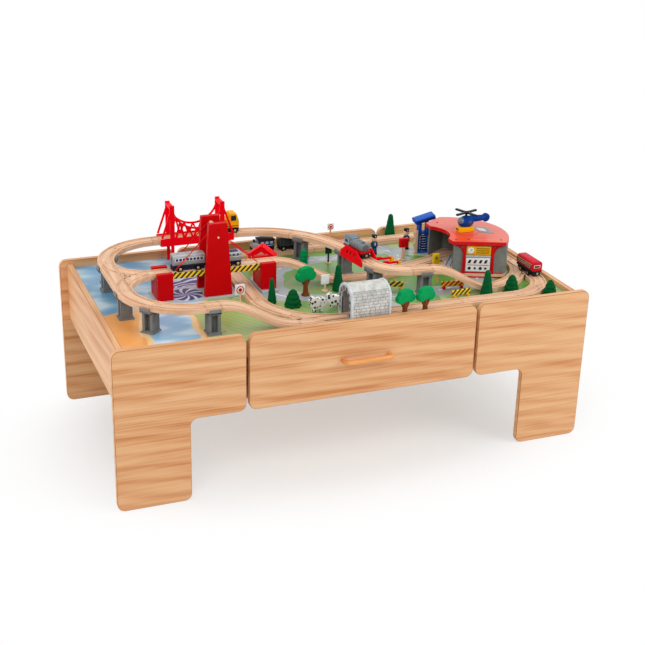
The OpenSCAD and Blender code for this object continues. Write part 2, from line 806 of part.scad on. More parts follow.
// Suspension bridge: two pierced side frames, joined under the deck and at the tower heads
frame_t = 4.5;
mast_leg = 8;
mast_w = 12;
mast_h = 90;
mast_x = 66;
span_len = 194;
span_shift = 5;
cable_dip = 26;
hanger_gap = 23;
hanger_w = 6;
cable_t = 5;
module suspension_frame_2d() {
  deck = raised_rail - board_top;
  half = span_len / 2;
  rise = mast_h - cable_dip - 8;
  cable_r = (mast_x * mast_x + rise * rise) / (2 * rise);
  translate([-half, deck - track_t - 4]) square([span_len, track_t + 8]);
  for (side = [0, 1]) mirror([side, 0]) {
    translate([mast_x - mast_leg / 2, 0]) square([mast_leg, deck]);
    translate([mast_x - mast_w / 2, deck - track_t]) square([mast_w, mast_h + track_t]);
    stay = atan2(mast_h - 14, half - mast_x - 4);
    translate([mast_x, deck + mast_h - 8]) rotate(-stay)
      translate([0, -cable_t / 2]) square([norm([half - mast_x - 4, mast_h - 14]), cable_t]);
    for (k = [0:2], foot = [-hanger_gap / 2, hanger_gap / 2]) {
      x = k * hanger_gap;
      top = deck + cable_dip + cable_r - sqrt(cable_r * cable_r - x * x);
      polygon([[x + foot - hanger_w / 2, deck - 1], [x + foot + hanger_w / 2, deck - 1],
               [x + hanger_w / 3, top], [x - hanger_w / 3, top]]);
    }
  }
  intersection() {
    translate([0, deck + cable_dip + cable_r]) difference() {
      circle(cable_r + cable_t / 2, $fn = 96);
      circle(cable_r - cable_t / 2, $fn = 96);
    }
    translate([-mast_x, deck]) square([2 * mast_x, mast_h - 4]);
  }
}

module suspension_bridge() {
  inside = track_w / 2 + seat_gap;
  mid = beyond(suspension, suspension_len / 2 + span_shift);
  color("red") placed() translate([mid[0], mid[1], board_top]) {
    for (y = [-inside, inside + frame_t])
      translate([0, y, 0]) upright(frame_t) suspension_frame_2d();
    translate([-span_len / 2, -inside - 1, pier_h - 4])
      cube([span_len, 2 * inside + 2, 4 - seat_gap]);
    for (x = [-mast_x, mast_x])
      translate([x - mast_w / 2, -inside - 1, raised_rail - board_top + mast_h - 10])
        cube([mast_w, 2 * inside + 2, 7]);
  }
}

// Girder bridge: a pierced plate on each side of the raised straight
girder_t = 3;
girder_h = 34;
module girder_sides() {
  panels = 5;
  pitch = (girder_len - 20) / panels;
  color("red") placed() at_pose(girder, raised_z - 2) for (side = [0, 1]) mirror([0, side, 0])
    translate([0, track_w / 2 + seat_gap + girder_t, 0]) upright(girder_t) difference() {
      polygon([[1, 0], [girder_len - 1, 0], [girder_len - 1, 16], [girder_len - 26, girder_h],
               [26, girder_h], [1, 16]]);
      for (k = [1:panels - 2])
        translate([10 + k * pitch, track_t + 4])
          polygon([[3, 0], [pitch - 3, 0], [pitch / 2, girder_h - track_t - 9]]);
    }
}

// Station: a front line, a round side and a slanted back line, open on the left where the track comes in
back_turn = 32;
porch = 22;
module station_plan(grow, open = 0) {
  intersection() {
    translate([station_x, station_y + 56]) circle(station_r + min(grow, 0), $fn = 96);
    translate([station_x - porch - grow - open, station_y - 200]) square([400 + open, 500]);
    translate([station_x, station_y]) rotate(station_turn) translate([-200, -grow]) square([500, 400]);
    translate([station_x - porch - 10, station_y + 157]) rotate(back_turn)
      translate([-300, grow - eave - 400]) square([800, 400]);
  }
}

station_pose = finish(middle_c);
module station_plinth() {
  rail_run = straight(beyond(station_pose, -10), 110);
  color("peru") placed() translate([0, 0, board_top]) difference() {
    linear_extrude(plinth_t) station_plan(0);
    translate([0, 0, plinth_t - track_t]) grooves(rail_run);
    translate([station_x - porch - 1, station_mid - 30, -1]) cube([porch + 1, 61, plinth_t + 2]);
  }
}

module station_walls() {
  color("gray") placed() translate([0, 0, board_top + plinth_t]) linear_extrude(station_h) difference() {
    station_plan(-1);
    station_plan(-1 - wall_t, 40);
  }
}

// The roof hangs over the walls and is cut back in a curve above the entrance
bite_r = 68;
module station_roof() {
  color("salmon") placed() translate([0, 0, board_top + plinth_t + station_h]) {
    linear_extrude(roof_t) difference() {
      station_plan(eave);
      translate([station_x - 74, station_y + 80]) circle(bite_r, $fn = 96);
    }
    translate([heli_pose[0], heli_pose[1], 0]) cylinder(r = 34, h = roof_t + 1);
  }
}

roof_z = board_top + plinth_t + station_h + roof_t + 1;
heli_pose = [station_x + 38, station_y + 66, 0];
heli_r = 16;
belly_h = 13;
rotor_z = roof_z + belly_h + 2 * heli_r + 4;
mast_r = 3;
module helicopter_body() {
  nose = 22;
  tail_z = belly_h + heli_r + 2;
  color("navy") placed() at_pose(heli_pose, roof_z) {
    translate([-20, -12, 0]) linear_extrude(belly_h) rounded_rect(40, 24, 8);
    translate([0, 0, belly_h + heli_r - 4]) rotate([0, 90, 0]) rotate_extrude()
      polygon([for (a = [0:15:180]) [heli_r * sin(a), nose * -cos(a)]]);
    translate([8, 0, tail_z]) rotate([0, 90, 0]) cylinder(r1 = 9, r2 = 7.5, h = 46);
    translate([56, -4, tail_z]) rotate([-90, 0, 0]) cylinder(r = 11, h = 8);
    cylinder(r = mast_r, h = rotor_z - roof_z - 1);
  }
}

module helicopter_rotor() {
  color("black") placed() at_pose(heli_pose, rotor_z - 3) {
    difference() {
      cylinder(r = mast_r + 3, h = 6);
      translate([0, 0, -1]) cylinder(r = mast_r + pin_fit, h = 4);
    }
    for (a = [20:90:290])
      rotate(a) translate([4.5, -3.5, 2]) cube([32, 7, 3.4]);
  }
}

// Level crossing: a post for each arm, and the arms that swing up beside the line
post_h = 14;
arm_len = 44;
crossing = [[station_x - 121, middle_y + 98], [station_x - 116, middle_y + 64]];
module crossing_posts() {
  color("gold") placed() for (c = crossing) translate([c[0], c[1], board_top]) {
    translate([-9, -8, 0]) cube([18, 16, 3]);
    for (y = [-6, 3.5])
      translate([-4, y, 0]) cube([8, 2.5, post_h]);
    translate([0, 5, post_h - 4]) rotate([90, 0, 0]) cylinder(r = 1.5, h = 10);
  }
}

module crossing_arm(c) {
  color("red") placed() translate([c[0], c[1], board_top + post_h - 4]) difference() {
    union() {
      translate([-arm_len, -3, -1]) cube([arm_len, 6, 5]);
      rotate([90, 0, 0]) cylinder(r = 4, h = 6, center = true);
      translate([-arm_len, -3, -1]) cube([14, 6, 8]);
    }
    rotate([90, 0, 0]) cylinder(r = 1.5 + pin_fit, h = 20, center = true);
  }
}

module crossing_arm_back() {
  crossing_arm(crossing[0]);
}

module crossing_arm_front() {
  crossing_arm(crossing[1]);
}

// Loading tower with its hood, beside the station
loader_pose = [station_x - 10, station_y + 212, -8];
loader_h = 84;
module loader() {
  color("royalblue") placed() at_pose(loader_pose, board_top) {
    translate([-17, -14, 0]) cube([36, 28, 4]);
    for (x = [-14, 8])
      translate([x, -11, 0]) cube([8, 22, loader_h]);
    translate([-14, -11, loader_h * 0.6]) cube([30, 22, 5]);
    translate([-24, -18, loader_h - 4]) rotate([0, -16, 0]) cube([56, 36, 10]);
  }
}

// Tunnel of dressed stone over the front line
tunnel_len = 100;
tunnel_h = 90;
tunnel_d = 76;
bore_w = 48;
tunnel_x = 16;
rim_t = 6;
module tunnel_outline(grow) {
  r = tunnel_d / 2 - 8 + grow;
  translate([-tunnel_d / 2 - grow, 0]) square([tunnel_d + 2 * grow, tunnel_h - r + grow]);
  translate([0, tunnel_h - r + grow]) intersection() {
    circle(tunnel_d / 2 + grow, $fn = 96);
    translate([-tunnel_d, 0]) square([2 * tunnel_d, r]);
  }
}

module tunnel_bore() {
  translate([-bore_w / 2, -1]) square([bore_w, 50]);
  translate([0, 49]) circle(bore_w / 2);
}

module tunnel() {
  color("lightgray") placed()
    translate([tunnel_x - tunnel_len / 2, front_y, board_top]) rotate([90, 0, 90])
      difference() {
        union() {
          linear_extrude(tunnel_len) tunnel_outline(-1);
          for (z = [0, tunnel_len - rim_t])
            translate([0, 0, z]) linear_extrude(rim_t) tunnel_outline(1);
        }
        translate([0, 0, -1]) linear_extrude(tunnel_len + 2) tunnel_bore();
      }
}

// Trees: [x, y, height, radius] for firs, rounded shrubs and leafy trees
fir_spots = [[side_x - 169, front_y + 38, 66, 12], [side_x - 208, back_y + 42, 64, 13],
             [middle_x - 46, middle_y - 50, 66, 11], [under_x + 35, middle_y - 81, 64, 10]];
shrub_spots = [[side_x - 99, front_y + 39, 46, 17], [side_x - 18, front_y - 7, 40, 15],
               [under_x + 77, front_y + 122, 42, 18], [middle_x - 58, back_y - 92, 40, 9]];
leafy_spots = [[tunnel_x + 88, front_y - 31, 78, 19], [tunnel_x + 140, front_y - 31, 78, 19],
               [under_x + 130, middle_y - 56, 76, 20]];
trunk_r = 3;

module fir(p) {
  translate([p[0], p[1], board_top]) {
    rotate_extrude() polygon([[0, 0], [p[3] * 0.85, 0], [p[3], p[2] * 0.08], [p[3] * 0.93, p[2] * 0.38],
                              [p[3] * 0.74, p[2] * 0.68], [p[3] * 0.45, p[2] * 0.92], [p[3] * 0.2, p[2]],
                              [0, p[2]]]);
  }
}

module shrub(p) {
  translate([p[0], p[1], board_top]) {
    cylinder(r1 = p[3], r2 = p[3] * 0.8, h = p[2] * 0.6);
    translate([0, 0, p[2] * 0.6]) cylinder(r1 = p[3] * 0.8, r2 = p[3] * 0.3, h = p[2] * 0.4);
  }
}

module leafy(p) {
  s = p[3];
  translate([p[0], p[1], board_top]) {
    cylinder(r = trunk_r, h = p[2] * 0.6);
    translate([0, 0, p[2] - s * 0.9]) intersection() {
      for (q = [[0, 0, 0, 0.9], [0.55, 0, -0.35, 0.75], [-0.55, 0, -0.35, 0.75]])
        translate([q[0] * s, q[1] * s, q[2] * s]) sphere(r = q[3] * s);
      translate([-2 * s, -7, -2 * s]) cube([4 * s, 14, 4 * s]);
    }
  }
}

module trees() {
  color("seagreen") placed() {
    for (p = fir_spots) fir(p);
    for (p = shrub_spots) shrub(p);
    for (p = leafy_spots) leafy(p);
  }
}

// Signs: [x, y, height of the post, width of the plate, height of the plate]
sign_spots = [[under_x - 40, middle_y - 68, 26, 24, 26], [middle_x - 78, middle_y - 44, 18, 22, 24],
              [station_x - 217, back_y + 44, 36, 18, 18], [middle_x + 4, back_y - 108, 26, 18, 18],
              [station_x - 42, middle_y + 2, 16, 18, 30], [station_x - 87, middle_y + 102, 36, 26, 24]];
// Barricades beside the right-hand ramp: [x, y, heading, length]
barrier_spots = [[station_x - 197, middle_y - 84, -20, 44], [station_x - 64, front_y + 50, 5, 52],
                 [station_x - 58, front_y + 108, -8, 60]];
barrier_h = 20;
module signs() {
  color("whitesmoke") placed() {
    for (p = sign_spots) translate([p[0], p[1], board_top]) {
      cylinder(r = 8, h = 3);
      translate([0, 0, 2]) cylinder(r = 2, h = p[2]);
      translate([-p[3] / 2, -2, p[2]]) cube([p[3], 4, p[4]]);
    }
    for (p = barrier_spots) at_pose(p, board_top) {
      translate([-p[3] / 2, -2, 6]) cube([p[3], 4, barrier_h - 6]);
      for (x = [4 - p[3] / 2, p[3] / 2 - 10])
        translate([x, -6, 0]) cube([6, 12, 7]);
    }
  }
}

// Turned figures: [x, y, height]
figure_spots = [[station_x - 141, back_y - 78, 52], [station_x - 42, back_y - 66, 56]];
module person(h) {
  cylinder(r = 9, h = 3);
  cylinder(r1 = 8, r2 = 6, h = h * 0.7);
  translate([0, 0, h * 0.8]) sphere(r = 8);
  translate([0, 0, h * 0.9]) cylinder(r = 7.5, h = h * 0.16);
}

// Cows sawn from flat stock: [x, y, size, heading]
cow_spots = [[under_x + 121, front_y + 72, 1, 8], [under_x + 169, front_y + 84, 0.9, -12]];
module cow(s) {
  translate([0, 5, 0]) upright(10) scale(s) {
    translate([-18, 12]) rounded_rect(36, 20, 6);
    for (x = [-17, -8, 4, 12])
      translate([x, 0]) square([5, 20]);
    translate([-22, 24]) rounded_rect(13, 14, 4);
  }
}

module play_figures() {
  color("white") placed() {
    for (p = figure_spots) translate([p[0], p[1], board_top]) person(p[2]);
    for (p = cow_spots) at_pose([p[0], p[1], p[3]], board_top) cow(p[2]);
  }
}

// Gabled shed, open at both ends
shed_pose = [under_x + 95, back_y - 80, -28];
module red_shed() {
  color("red") placed() at_pose(shed_pose, board_top) difference() {
    translate([0, 14, 0]) upright(28)
      polygon([[-34, 0], [34, 0], [34, 30], [0, 56], [-34, 30]]);
    translate([0, 15, 0]) upright(30)
      polygon([[-24, -1], [24, -1], [24, 26], [0, 44], [-24, 26]]);
  }
}

// Rolling stock. Each body is drawn along +X about its middle, with Z = 0 at the rails
module axle_bores(base) {
  for (x = [-base / 2, base / 2])
    translate([x, 0, wheel_z]) rotate([90, 0, 0])
      cylinder(r = axle_r + pin_fit, h = stock_w + 10, center = true);
}

module chassis(len, base) {
  narrow = groove_gauge - wheel_w - 2 * run_gap - 0.4;
  difference() {
    union() {
      translate([3 - len / 2, -narrow / 2, 2]) cube([len - 6, narrow, body_z - 1]);
      for (x = [-len / 2, len / 2 - 4])
        translate([x, 0, body_z - magnet_r - 0.5]) rotate([0, 90, 0]) cylinder(r = magnet_r, h = 4);
    }
    axle_bores(base);
  }
}

// Rounded box along X, from the body's floor
module box_body(x0, x1, h, r) {
  translate([x0, -stock_w / 2, body_z]) rotate([90, 0, 90])
    linear_extrude(x1 - x0) rounded_rect(stock_w, h, r);
}

// Wheel pair with its axle, at one place along a vehicle
module axle_at(pose, rail, x) {
  placed() at_pose(pose, rail) translate([x, 0, wheel_z]) rotate([90, 0, 0]) {
    cylinder(r = axle_r, h = groove_gauge + wheel_w + 2, center = true);
    for (y = [-1, 1] * groove_gauge / 2)
      translate([0, 0, y]) cylinder(r = wheel_r, h = wheel_w, center = true);
  }
}

module silver_coach() {
  color("silver") placed() at_pose(coach_pose, raised_rail) {
    chassis(coach_len, coach_base);
    box_body(4 - coach_len / 2, coach_len / 2 - 4, 27, 7);
  }
}

module silver_coach_front_axle() {
  color("black") axle_at(coach_pose, raised_rail, coach_base / 2);
}

module silver_coach_rear_axle() {
  color("black") axle_at(coach_pose, raised_rail, -coach_base / 2);
}

module silver_tender() {
  color("silver") placed() at_pose(tender_pose, raised_rail) {
    chassis(tender_len, tender_base);
    box_body(3 - tender_len / 2, tender_len / 2 - 3, 22, 5);
  }
}

module silver_tender_front_axle() {
  color("black") axle_at(tender_pose, raised_rail, tender_base / 2);
}

module silver_tender_rear_axle() {
  color("black") axle_at(tender_pose, raised_rail, -tender_base / 2);
}

module blue_loco() {
  color("mediumblue") placed() at_pose(loco_pose, ground_rail) {
    chassis(loco_len, loco_base);
    box_body(3 - loco_len / 2, loco_len / 2 - 20, 23, 4);
    box_body(loco_len / 2 - 21, loco_len / 2 - 3, 14, 4);
  }
}

module blue_loco_front_axle() {
  color("black") axle_at(loco_pose, ground_rail, loco_base / 2);
}

module blue_loco_rear_axle() {
  color("black") axle_at(loco_pose, ground_rail, -loco_base / 2);
}

module dark_wagon() {
  color("dimgray") placed() at_pose(wagon_pose, ground_rail) {
    chassis(wagon_len, wagon_base);
    difference() {
      box_body(3 - wagon_len / 2, wagon_len / 2 - 3, 20, 2);
      translate([6 - wagon_len / 2, 3 - stock_w / 2, body_z + 6]) cube([wagon_len - 12, stock_w - 6, 20]);
    }
  }
}

module dark_wagon_front_axle() {
  color("black") axle_at(wagon_pose, ground_rail, wagon_base / 2);
}

module dark_wagon_rear_axle() {
  color("black") axle_at(wagon_pose, ground_rail, -wagon_base / 2);
}

module grey_loco() {
  boiler_r = 12;
  boiler_z = body_z + 14;
  color("gray") placed() at_pose(steam_pose, raised_rail) {
    chassis(steam_len, steam_base);
    box_body(3 - steam_len / 2, 4, 4, 1);
    box_body(3, steam_len / 2 - 4, 4, 1);
    box_body(5 - steam_len / 2, -14, 30, 6);
    translate([-16, 0, boiler_z]) rotate([0, 90, 0]) cylinder(r = boiler_r, h = steam_len / 2 + 8);
    translate([-16, -8, body_z + 2]) cube([steam_len / 2 + 4, 16, 8]);
    translate([26, 0, boiler_z]) cylinder(r1 = 4, r2 = 5, h = boiler_r + 10);
    translate([6, 0, boiler_z]) cylinder(r = 5, h = boiler_r + 4);
  }
}

module grey_loco_front_axle() {
  color("black") axle_at(steam_pose, raised_rail, steam_base / 2);
}

module grey_loco_rear_axle() {
  color("black") axle_at(steam_pose, raised_rail, -steam_base / 2);
}

module red_coach() {
  color("firebrick") placed() at_pose(red_pose, ground_rail) {
    chassis(red_len, red_base);
    box_body(4 - red_len / 2, red_len / 2 - 4, 26, 8);
  }
}

module red_coach_front_axle() {
  color("black") axle_at(red_pose, ground_rail, red_base / 2);
}

module red_coach_rear_axle() {
  color("black") axle_at(red_pose, ground_rail, -red_base / 2);
}

module yellow_truck() {
  color("gold") placed() at_pose(truck_pose, raised_rail) {
    chassis(truck_len, truck_base);
    box_body(3 - truck_len / 2, 4, 26, 3);
    box_body(3, truck_len / 2 - 3, 40, 8);
  }
}

module yellow_truck_front_axle() {
  color("black") axle_at(truck_pose, raised_rail, truck_base / 2);
}

module yellow_truck_rear_axle() {
  color("black") axle_at(truck_pose, raised_rail, -truck_base / 2);
}

corner_panels_front();
panels_back();
end_boards();
play_board();
support_frame();
drawer_runners();
joint_dowels();
drawer_front();
drawer_walls();
drawer_bottom();
drawer_slides();
drawer_handle();
switch_tracks();
raised_tracks();
ramp_tracks();
ground_tracks();
bridge_piers();
drawbridge_base();
drawbridge_towers();
left_leaf();
right_leaf();
winder();
lift_cords();
suspension_bridge();
girder_sides();
station_plinth();
station_walls();
station_roof();
helicopter_body();
helicopter_rotor();
crossing_posts();
crossing_arm_back();
crossing_arm_front();
loader();
tunnel();
trees();
signs();
play_figures();
red_shed();
silver_coach();
silver_coach_front_axle();
silver_coach_rear_axle();
silver_tender();
silver_tender_front_axle();
silver_tender_rear_axle();
blue_loco();
blue_loco_front_axle();
blue_loco_rear_axle();
dark_wagon();
dark_wagon_front_axle();
dark_wagon_rear_axle();
grey_loco();
grey_loco_front_axle();
grey_loco_rear_axle();
red_coach();
red_coach_front_axle();
red_coach_rear_axle();
yellow_truck();
yellow_truck_front_axle();
yellow_truck_rear_axle();
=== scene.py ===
# %% [markdown]
# A wooden train table, dressed in Blender.
# The CAD model is the fixed frame: every node is where it belongs, and this file gives it its looks.
# Lengths in the cells are millimetres, as in a workshop drawing, and become metres when a mesh is made.

# %% Load the frame
import json
import math

import bmesh
import bpy
import numpy as np
from mathutils import Matrix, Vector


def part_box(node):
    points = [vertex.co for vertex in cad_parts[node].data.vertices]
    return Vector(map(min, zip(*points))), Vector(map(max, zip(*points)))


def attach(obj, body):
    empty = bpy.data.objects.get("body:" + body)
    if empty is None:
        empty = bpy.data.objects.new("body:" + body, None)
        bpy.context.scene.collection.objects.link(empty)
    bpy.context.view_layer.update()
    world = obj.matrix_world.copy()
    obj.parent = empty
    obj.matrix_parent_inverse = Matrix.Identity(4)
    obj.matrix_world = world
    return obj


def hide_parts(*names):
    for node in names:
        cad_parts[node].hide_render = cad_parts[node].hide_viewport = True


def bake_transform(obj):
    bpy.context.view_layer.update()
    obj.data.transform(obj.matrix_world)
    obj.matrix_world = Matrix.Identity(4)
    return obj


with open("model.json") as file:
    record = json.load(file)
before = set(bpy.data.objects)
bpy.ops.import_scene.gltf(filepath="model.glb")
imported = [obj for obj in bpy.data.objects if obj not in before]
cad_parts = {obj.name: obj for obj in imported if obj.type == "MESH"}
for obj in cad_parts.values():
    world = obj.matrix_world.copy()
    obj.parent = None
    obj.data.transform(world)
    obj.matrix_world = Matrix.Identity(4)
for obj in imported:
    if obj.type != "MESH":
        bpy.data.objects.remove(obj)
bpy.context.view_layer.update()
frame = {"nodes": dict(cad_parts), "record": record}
NODES = frame["nodes"]
BODY_OF = {n: b for b, members in frame["record"]["behaviour"]["bodies"].items() for n in members}
MM = 0.001

# %% [markdown]
# The camera stands at the photograph's viewing point: in front of the table, to its left and above it.
# Its place, turn and lens were solved from the table's own corners, so no fitting by eye is needed.
# A matrix of right, up and backward axes sets it in one step.

# %% Camera
CAMERA_AT = np.array([-1.062586, -2.654601, 1.459960])
YAW_PITCH_ROLL = 21.9467, 22.6536, 1.4307
LENS, SENSOR, FAR_CLIP = 68.81, 36.0, 50.0
yaw, pitch, roll = np.radians(YAW_PITCH_ROLL)
forward = np.array([np.sin(yaw) * np.cos(pitch), np.cos(yaw) * np.cos(pitch), -np.sin(pitch)])
level = np.array([np.cos(yaw), -np.sin(yaw), 0.0])
above = np.cross(level, forward)
cam_right = level * np.cos(roll) + above * np.sin(roll)
cam_up = above * np.cos(roll) - level * np.sin(roll)
lens = bpy.data.cameras.new("camera")
lens.lens, lens.sensor_width, lens.clip_end = LENS, SENSOR, FAR_CLIP
camera = bpy.data.objects.new("camera", lens)
bpy.context.scene.collection.objects.link(camera)
camera.matrix_world = Matrix([[*row] for row in np.vstack([
    np.column_stack([cam_right, cam_up, -forward, CAMERA_AT]), [0, 0, 0, 1]])])
bpy.context.scene.camera = camera
print("camera looks along", forward.round(3))

# %% [markdown]
# A material is a small graph of nodes. Written as Python sums it stays readable:
# the class below wraps one socket, and each operator adds the Math node that it stands for.
# A Finish is one material, and its node method makes every other node.

# %% Shader sums


class Val:
    """One output socket. Adding, multiplying and so on add Math nodes to its material."""

    def __init__(self, finish, socket):
        self.finish, self.socket = finish, socket

    def sum(self, kind, a, b):
        return self.finish.node("ShaderNodeMath", {"operation": kind}, {0: a, 1: b})

    def __add__(self, other):
        return self.sum("ADD", self, other)

    def __radd__(self, other):
        return self.sum("ADD", other, self)

    def __sub__(self, other):
        return self.sum("SUBTRACT", self, other)

    def __rsub__(self, other):
        return self.sum("SUBTRACT", other, self)

    def __mul__(self, other):
        return self.sum("MULTIPLY", self, other)

    def __rmul__(self, other):
        return self.sum("MULTIPLY", other, self)

    def __truediv__(self, other):
        return self.sum("DIVIDE", self, other)

    def over(self, low, high):
        """0 below low, 1 above high, and a smooth step between."""
        return self.finish.node("ShaderNodeMapRange", {"interpolation_type": "SMOOTHSTEP"},
                                {"Value": self, "From Min": low, "From Max": high})

    def fold(self, kind, other=0.0):
        """Any other sum of a Math node, by its name."""
        return self.sum(kind, self, other)


def rgb(red, green, blue):
    """A screen colour of 0 to 255 as the linear colour that a shader reads."""
    c = np.array([red, green, blue]) / 255.0
    return (*np.where(c <= 0.04045, c / 12.92, ((c + 0.055) / 1.055) ** 2.4).tolist(), 1.0)


class Finish:
    """One procedural material, with helpers that add nodes to it."""

    def __init__(self, name):
        self.material = bpy.data.materials.new(name)
        self.material.use_nodes = True
        self.tree = self.material.node_tree
        self.shader = self.tree.nodes["Principled BSDF"]

    def join(self, value, socket):
        """Links a value to a socket, or sets a plain number or colour on it."""
        if isinstance(value, Val):
            self.tree.links.new(value.socket, socket)
        else:
            socket.default_value = value

    def node(self, kind, settings=None, inputs=None, out=0):
        """One node: its settings come first, then the values or links of its sockets."""
        made = self.tree.nodes.new(kind)
        for key, value in (settings or {}).items():
            if key == "stops":
                stops = made.color_ramp.elements
                while len(stops) < len(value):
                    stops.new(0.5)
                for stop, (at, colour) in zip(stops, value):
                    stop.position, stop.color = at, colour
            else:
                setattr(made, key, value)
        for key, value in (inputs or {}).items():
            self.join(value, made.inputs[key])
        return Val(self, made.outputs[out])

    def place(self, scale=(1, 1, 1), attribute=None, shift=(0, 0, 0)):
        """Object coordinates, or a stored attribute, stretched by scale and moved by shift."""
        if attribute:
            at = self.node("ShaderNodeAttribute", {"attribute_name": attribute}, out=1)
        else:
            at = self.node("ShaderNodeTexCoord", out=3)
        return self.node("ShaderNodeMapping", {}, {"Vector": at, "Scale": scale, "Location": shift})

    def paint(self):
        """The colour that is stored on the faces."""
        return self.node("ShaderNodeAttribute", {"attribute_name": "paint"})

    def axes(self, vector):
        split = self.node("ShaderNodeSeparateXYZ", {}, {0: vector}).socket.node
        return [Val(self, out) for out in split.outputs]

    def noise(self, at, scale, detail=3.0, rough=0.5, warp=0.0):
        return self.node("ShaderNodeTexNoise", {},
                         {"Vector": at, "Scale": scale, "Detail": detail, "Roughness": rough, "Distortion": warp})

    def mix(self, part, a, b, kind="MIX"):
        return self.node("ShaderNodeMix", {"data_type": "RGBA", "blend_type": kind, "clamp_factor": True},
                         {0: part, 6: a, 7: b}, out=2)

    def ramp(self, value, *stops):
        return self.node("ShaderNodeValToRGB", {"stops": stops}, {0: value})

    def finish(self, colour, rough, bump=None, depth=0.0003, strength=0.5, **fixed):
        """Joins the results to the shader; fixed are plain numbers on its other sockets."""
        self.join(colour, self.shader.inputs["Base Color"])
        self.join(rough, self.shader.inputs["Roughness"])
        if bump is not None:
            self.join(self.node("ShaderNodeBump", {}, {"Height": bump, "Distance": depth, "Strength": strength}),
                      self.shader.inputs["Normal"])
        for key, value in fixed.items():
            self.shader.inputs[key.replace("_", " ")].default_value = value
        print("finish:", self.material.name)
        return self.material


print("shader sums: Val and Finish")

# %% [markdown]
# The panels are wood-grain laminate: a warm tan with long, slightly wavy streaks.
# Streaks are noise stretched along the grain; a wave pattern bent by noise gives the flamed figure,
# and a finer noise gives the pores. The same recipe with other numbers is pale beech for the tracks.

# %% Wood


def wood_colour(f, light, mid, dark, streak, figure):
    """Stretched noises and a bent wave, weighed together and sent through a colour ramp."""
    band = f.noise(f.place((1.5, streak * 0.22, streak * 0.22), "grain"), 1.0, 2.0, 0.5)
    line = f.noise(f.place((3.8, streak * 2.6, streak * 2.6), "grain"), 1.0, 4.0, 0.62, 0.5)
    flame = f.node("ShaderNodeTexWave", {"wave_type": "BANDS", "bands_direction": "DIAGONAL"},
                   {"Vector": f.place((0.5, 4.5, 4.5), "grain"), "Scale": figure, "Distortion": 5.0,
                    "Detail": 3.0, "Detail Scale": 1.6}, out=1)
    pores = f.noise(f.place((8.0, 620, 620), "grain"), 1.0, 2.0, 0.6)
    tone = band * 0.33 + line * 0.42 + flame * 0.1 + pores * 0.15
    return f.ramp(tone, (0.36, dark), (0.48, mid), (0.6, light)), pores, tone


def wood(name, light, mid, dark, streak, figure, rough, bump=0.35):
    """One wood: its colours from dark grain to light, the streaks in a metre, and its gloss."""
    f = Finish(name)
    colour, pores, tone = wood_colour(f, light, mid, dark, streak, figure)
    return f.finish(colour, 0.5 * pores + (rough - 0.25), tone, 0.0002, bump,
                    Specular_IOR_Level=0.16, Coat_Weight=0.02, Coat_Roughness=0.35)


PANEL = wood("panel_laminate", rgb(225, 178, 132), rgb(214, 159, 112), rgb(194, 128, 78), 145, 4.2, 0.42)
# The next wood is darker and goes on the panels' rounded edges as painted shade.
PANEL_RIM_SHADE = wood("panel_rim_shade", rgb(196, 138, 88), rgb(178, 116, 70), rgb(152, 94, 54), 105, 3.4, 0.42)
EDGE_WOOD = wood("frame_pine", rgb(226, 190, 140), rgb(212, 170, 118), rgb(190, 144, 94), 90, 2.6, 0.5)
BEECH_TONES = rgb(231, 193, 161), rgb(221, 180, 146), rgb(202, 155, 119), 130, 6.0
BEECH = wood("track_beech", *BEECH_TONES, 0.46)
HANDLE = wood("handle_wood", rgb(236, 168, 104), rgb(224, 150, 88), rgb(198, 122, 66), 100, 4.0, 0.36)

# %% [markdown]
# Painted wood and moulded plastic share one lacquer. Its colour comes from the faces;
# slow noise mottles it a little, fine noise gives the skin its uneven gloss.

# %% Lacquer, gloss, metal


def lacquer(name, rough, coat, mottle=0.1, bump=0.15, metal=0.0, grit=700, shine=0.22):
    """The face colour, darkened a little by cloudy noise; roughness follows the same cloud."""
    f = Finish(name)
    cloud = f.noise(f.place(), 55, 5.0, 0.62)
    fine = f.noise(f.place(), grit, 2.0)
    grey = f.ramp(cloud * 0.7 + fine * 0.3, (0.32, (1 - 2 * mottle,) * 3 + (1,)), (0.62, (1, 1, 1, 1)))
    return f.finish(f.mix(1.0, f.paint(), grey, "MULTIPLY"), cloud * 0.18 + (rough - 0.09), fine, 0.00012, bump,
                    Coat_Weight=coat, Coat_Roughness=0.2, Metallic=metal, Specular_IOR_Level=shine)


LACQUER = lacquer("toy_lacquer", 0.36, 0.02, shine=0.1)
PLASTIC = lacquer("moulded_plastic", 0.36, 0.0, 0.05, 0.1, shine=0.05)
TREE_PAINT = lacquer("tree_paint", 0.55, 0.0, 0.12, 0.2, shine=0.05)
GLOSS = lacquer("window_gloss", 0.14, 0.3, 0.05, 0.03, shine=0.5)
MATT = lacquer("matt_plastic", 0.62, 0.0, 0.16, 0.4, grit=420)
SILVER = lacquer("silver_paint", 0.34, 0.1, 0.06, 0.06, metal=0.35, shine=0.5)
STEEL = lacquer("zinc_steel", 0.3, 0.0, 0.12, 0.15, metal=1.0)
STONE = lacquer("cast_stone", 0.7, 0.0, 0.2, 0.6, grit=260)

WHITE, CREAM, BLACK, DARK = rgb(238, 238, 236), rgb(240, 226, 190), rgb(26, 26, 28), rgb(46, 46, 50)
RED, DEEP_RED, BRIGHT_RED, SALMON = rgb(203, 4, 12), rgb(176, 4, 10), rgb(248, 4, 24), rgb(222, 118, 104)
YELLOW, AMBER, BLUE, NAVY = rgb(248, 206, 20), rgb(246, 178, 18), rgb(22, 74, 168), rgb(28, 38, 92)
PALE_GREY, MID_GREY, WALL_GREY, STEEL_GREY = (
    rgb(196, 200, 203), rgb(150, 152, 154), rgb(128, 132, 128), rgb(178, 180, 184))

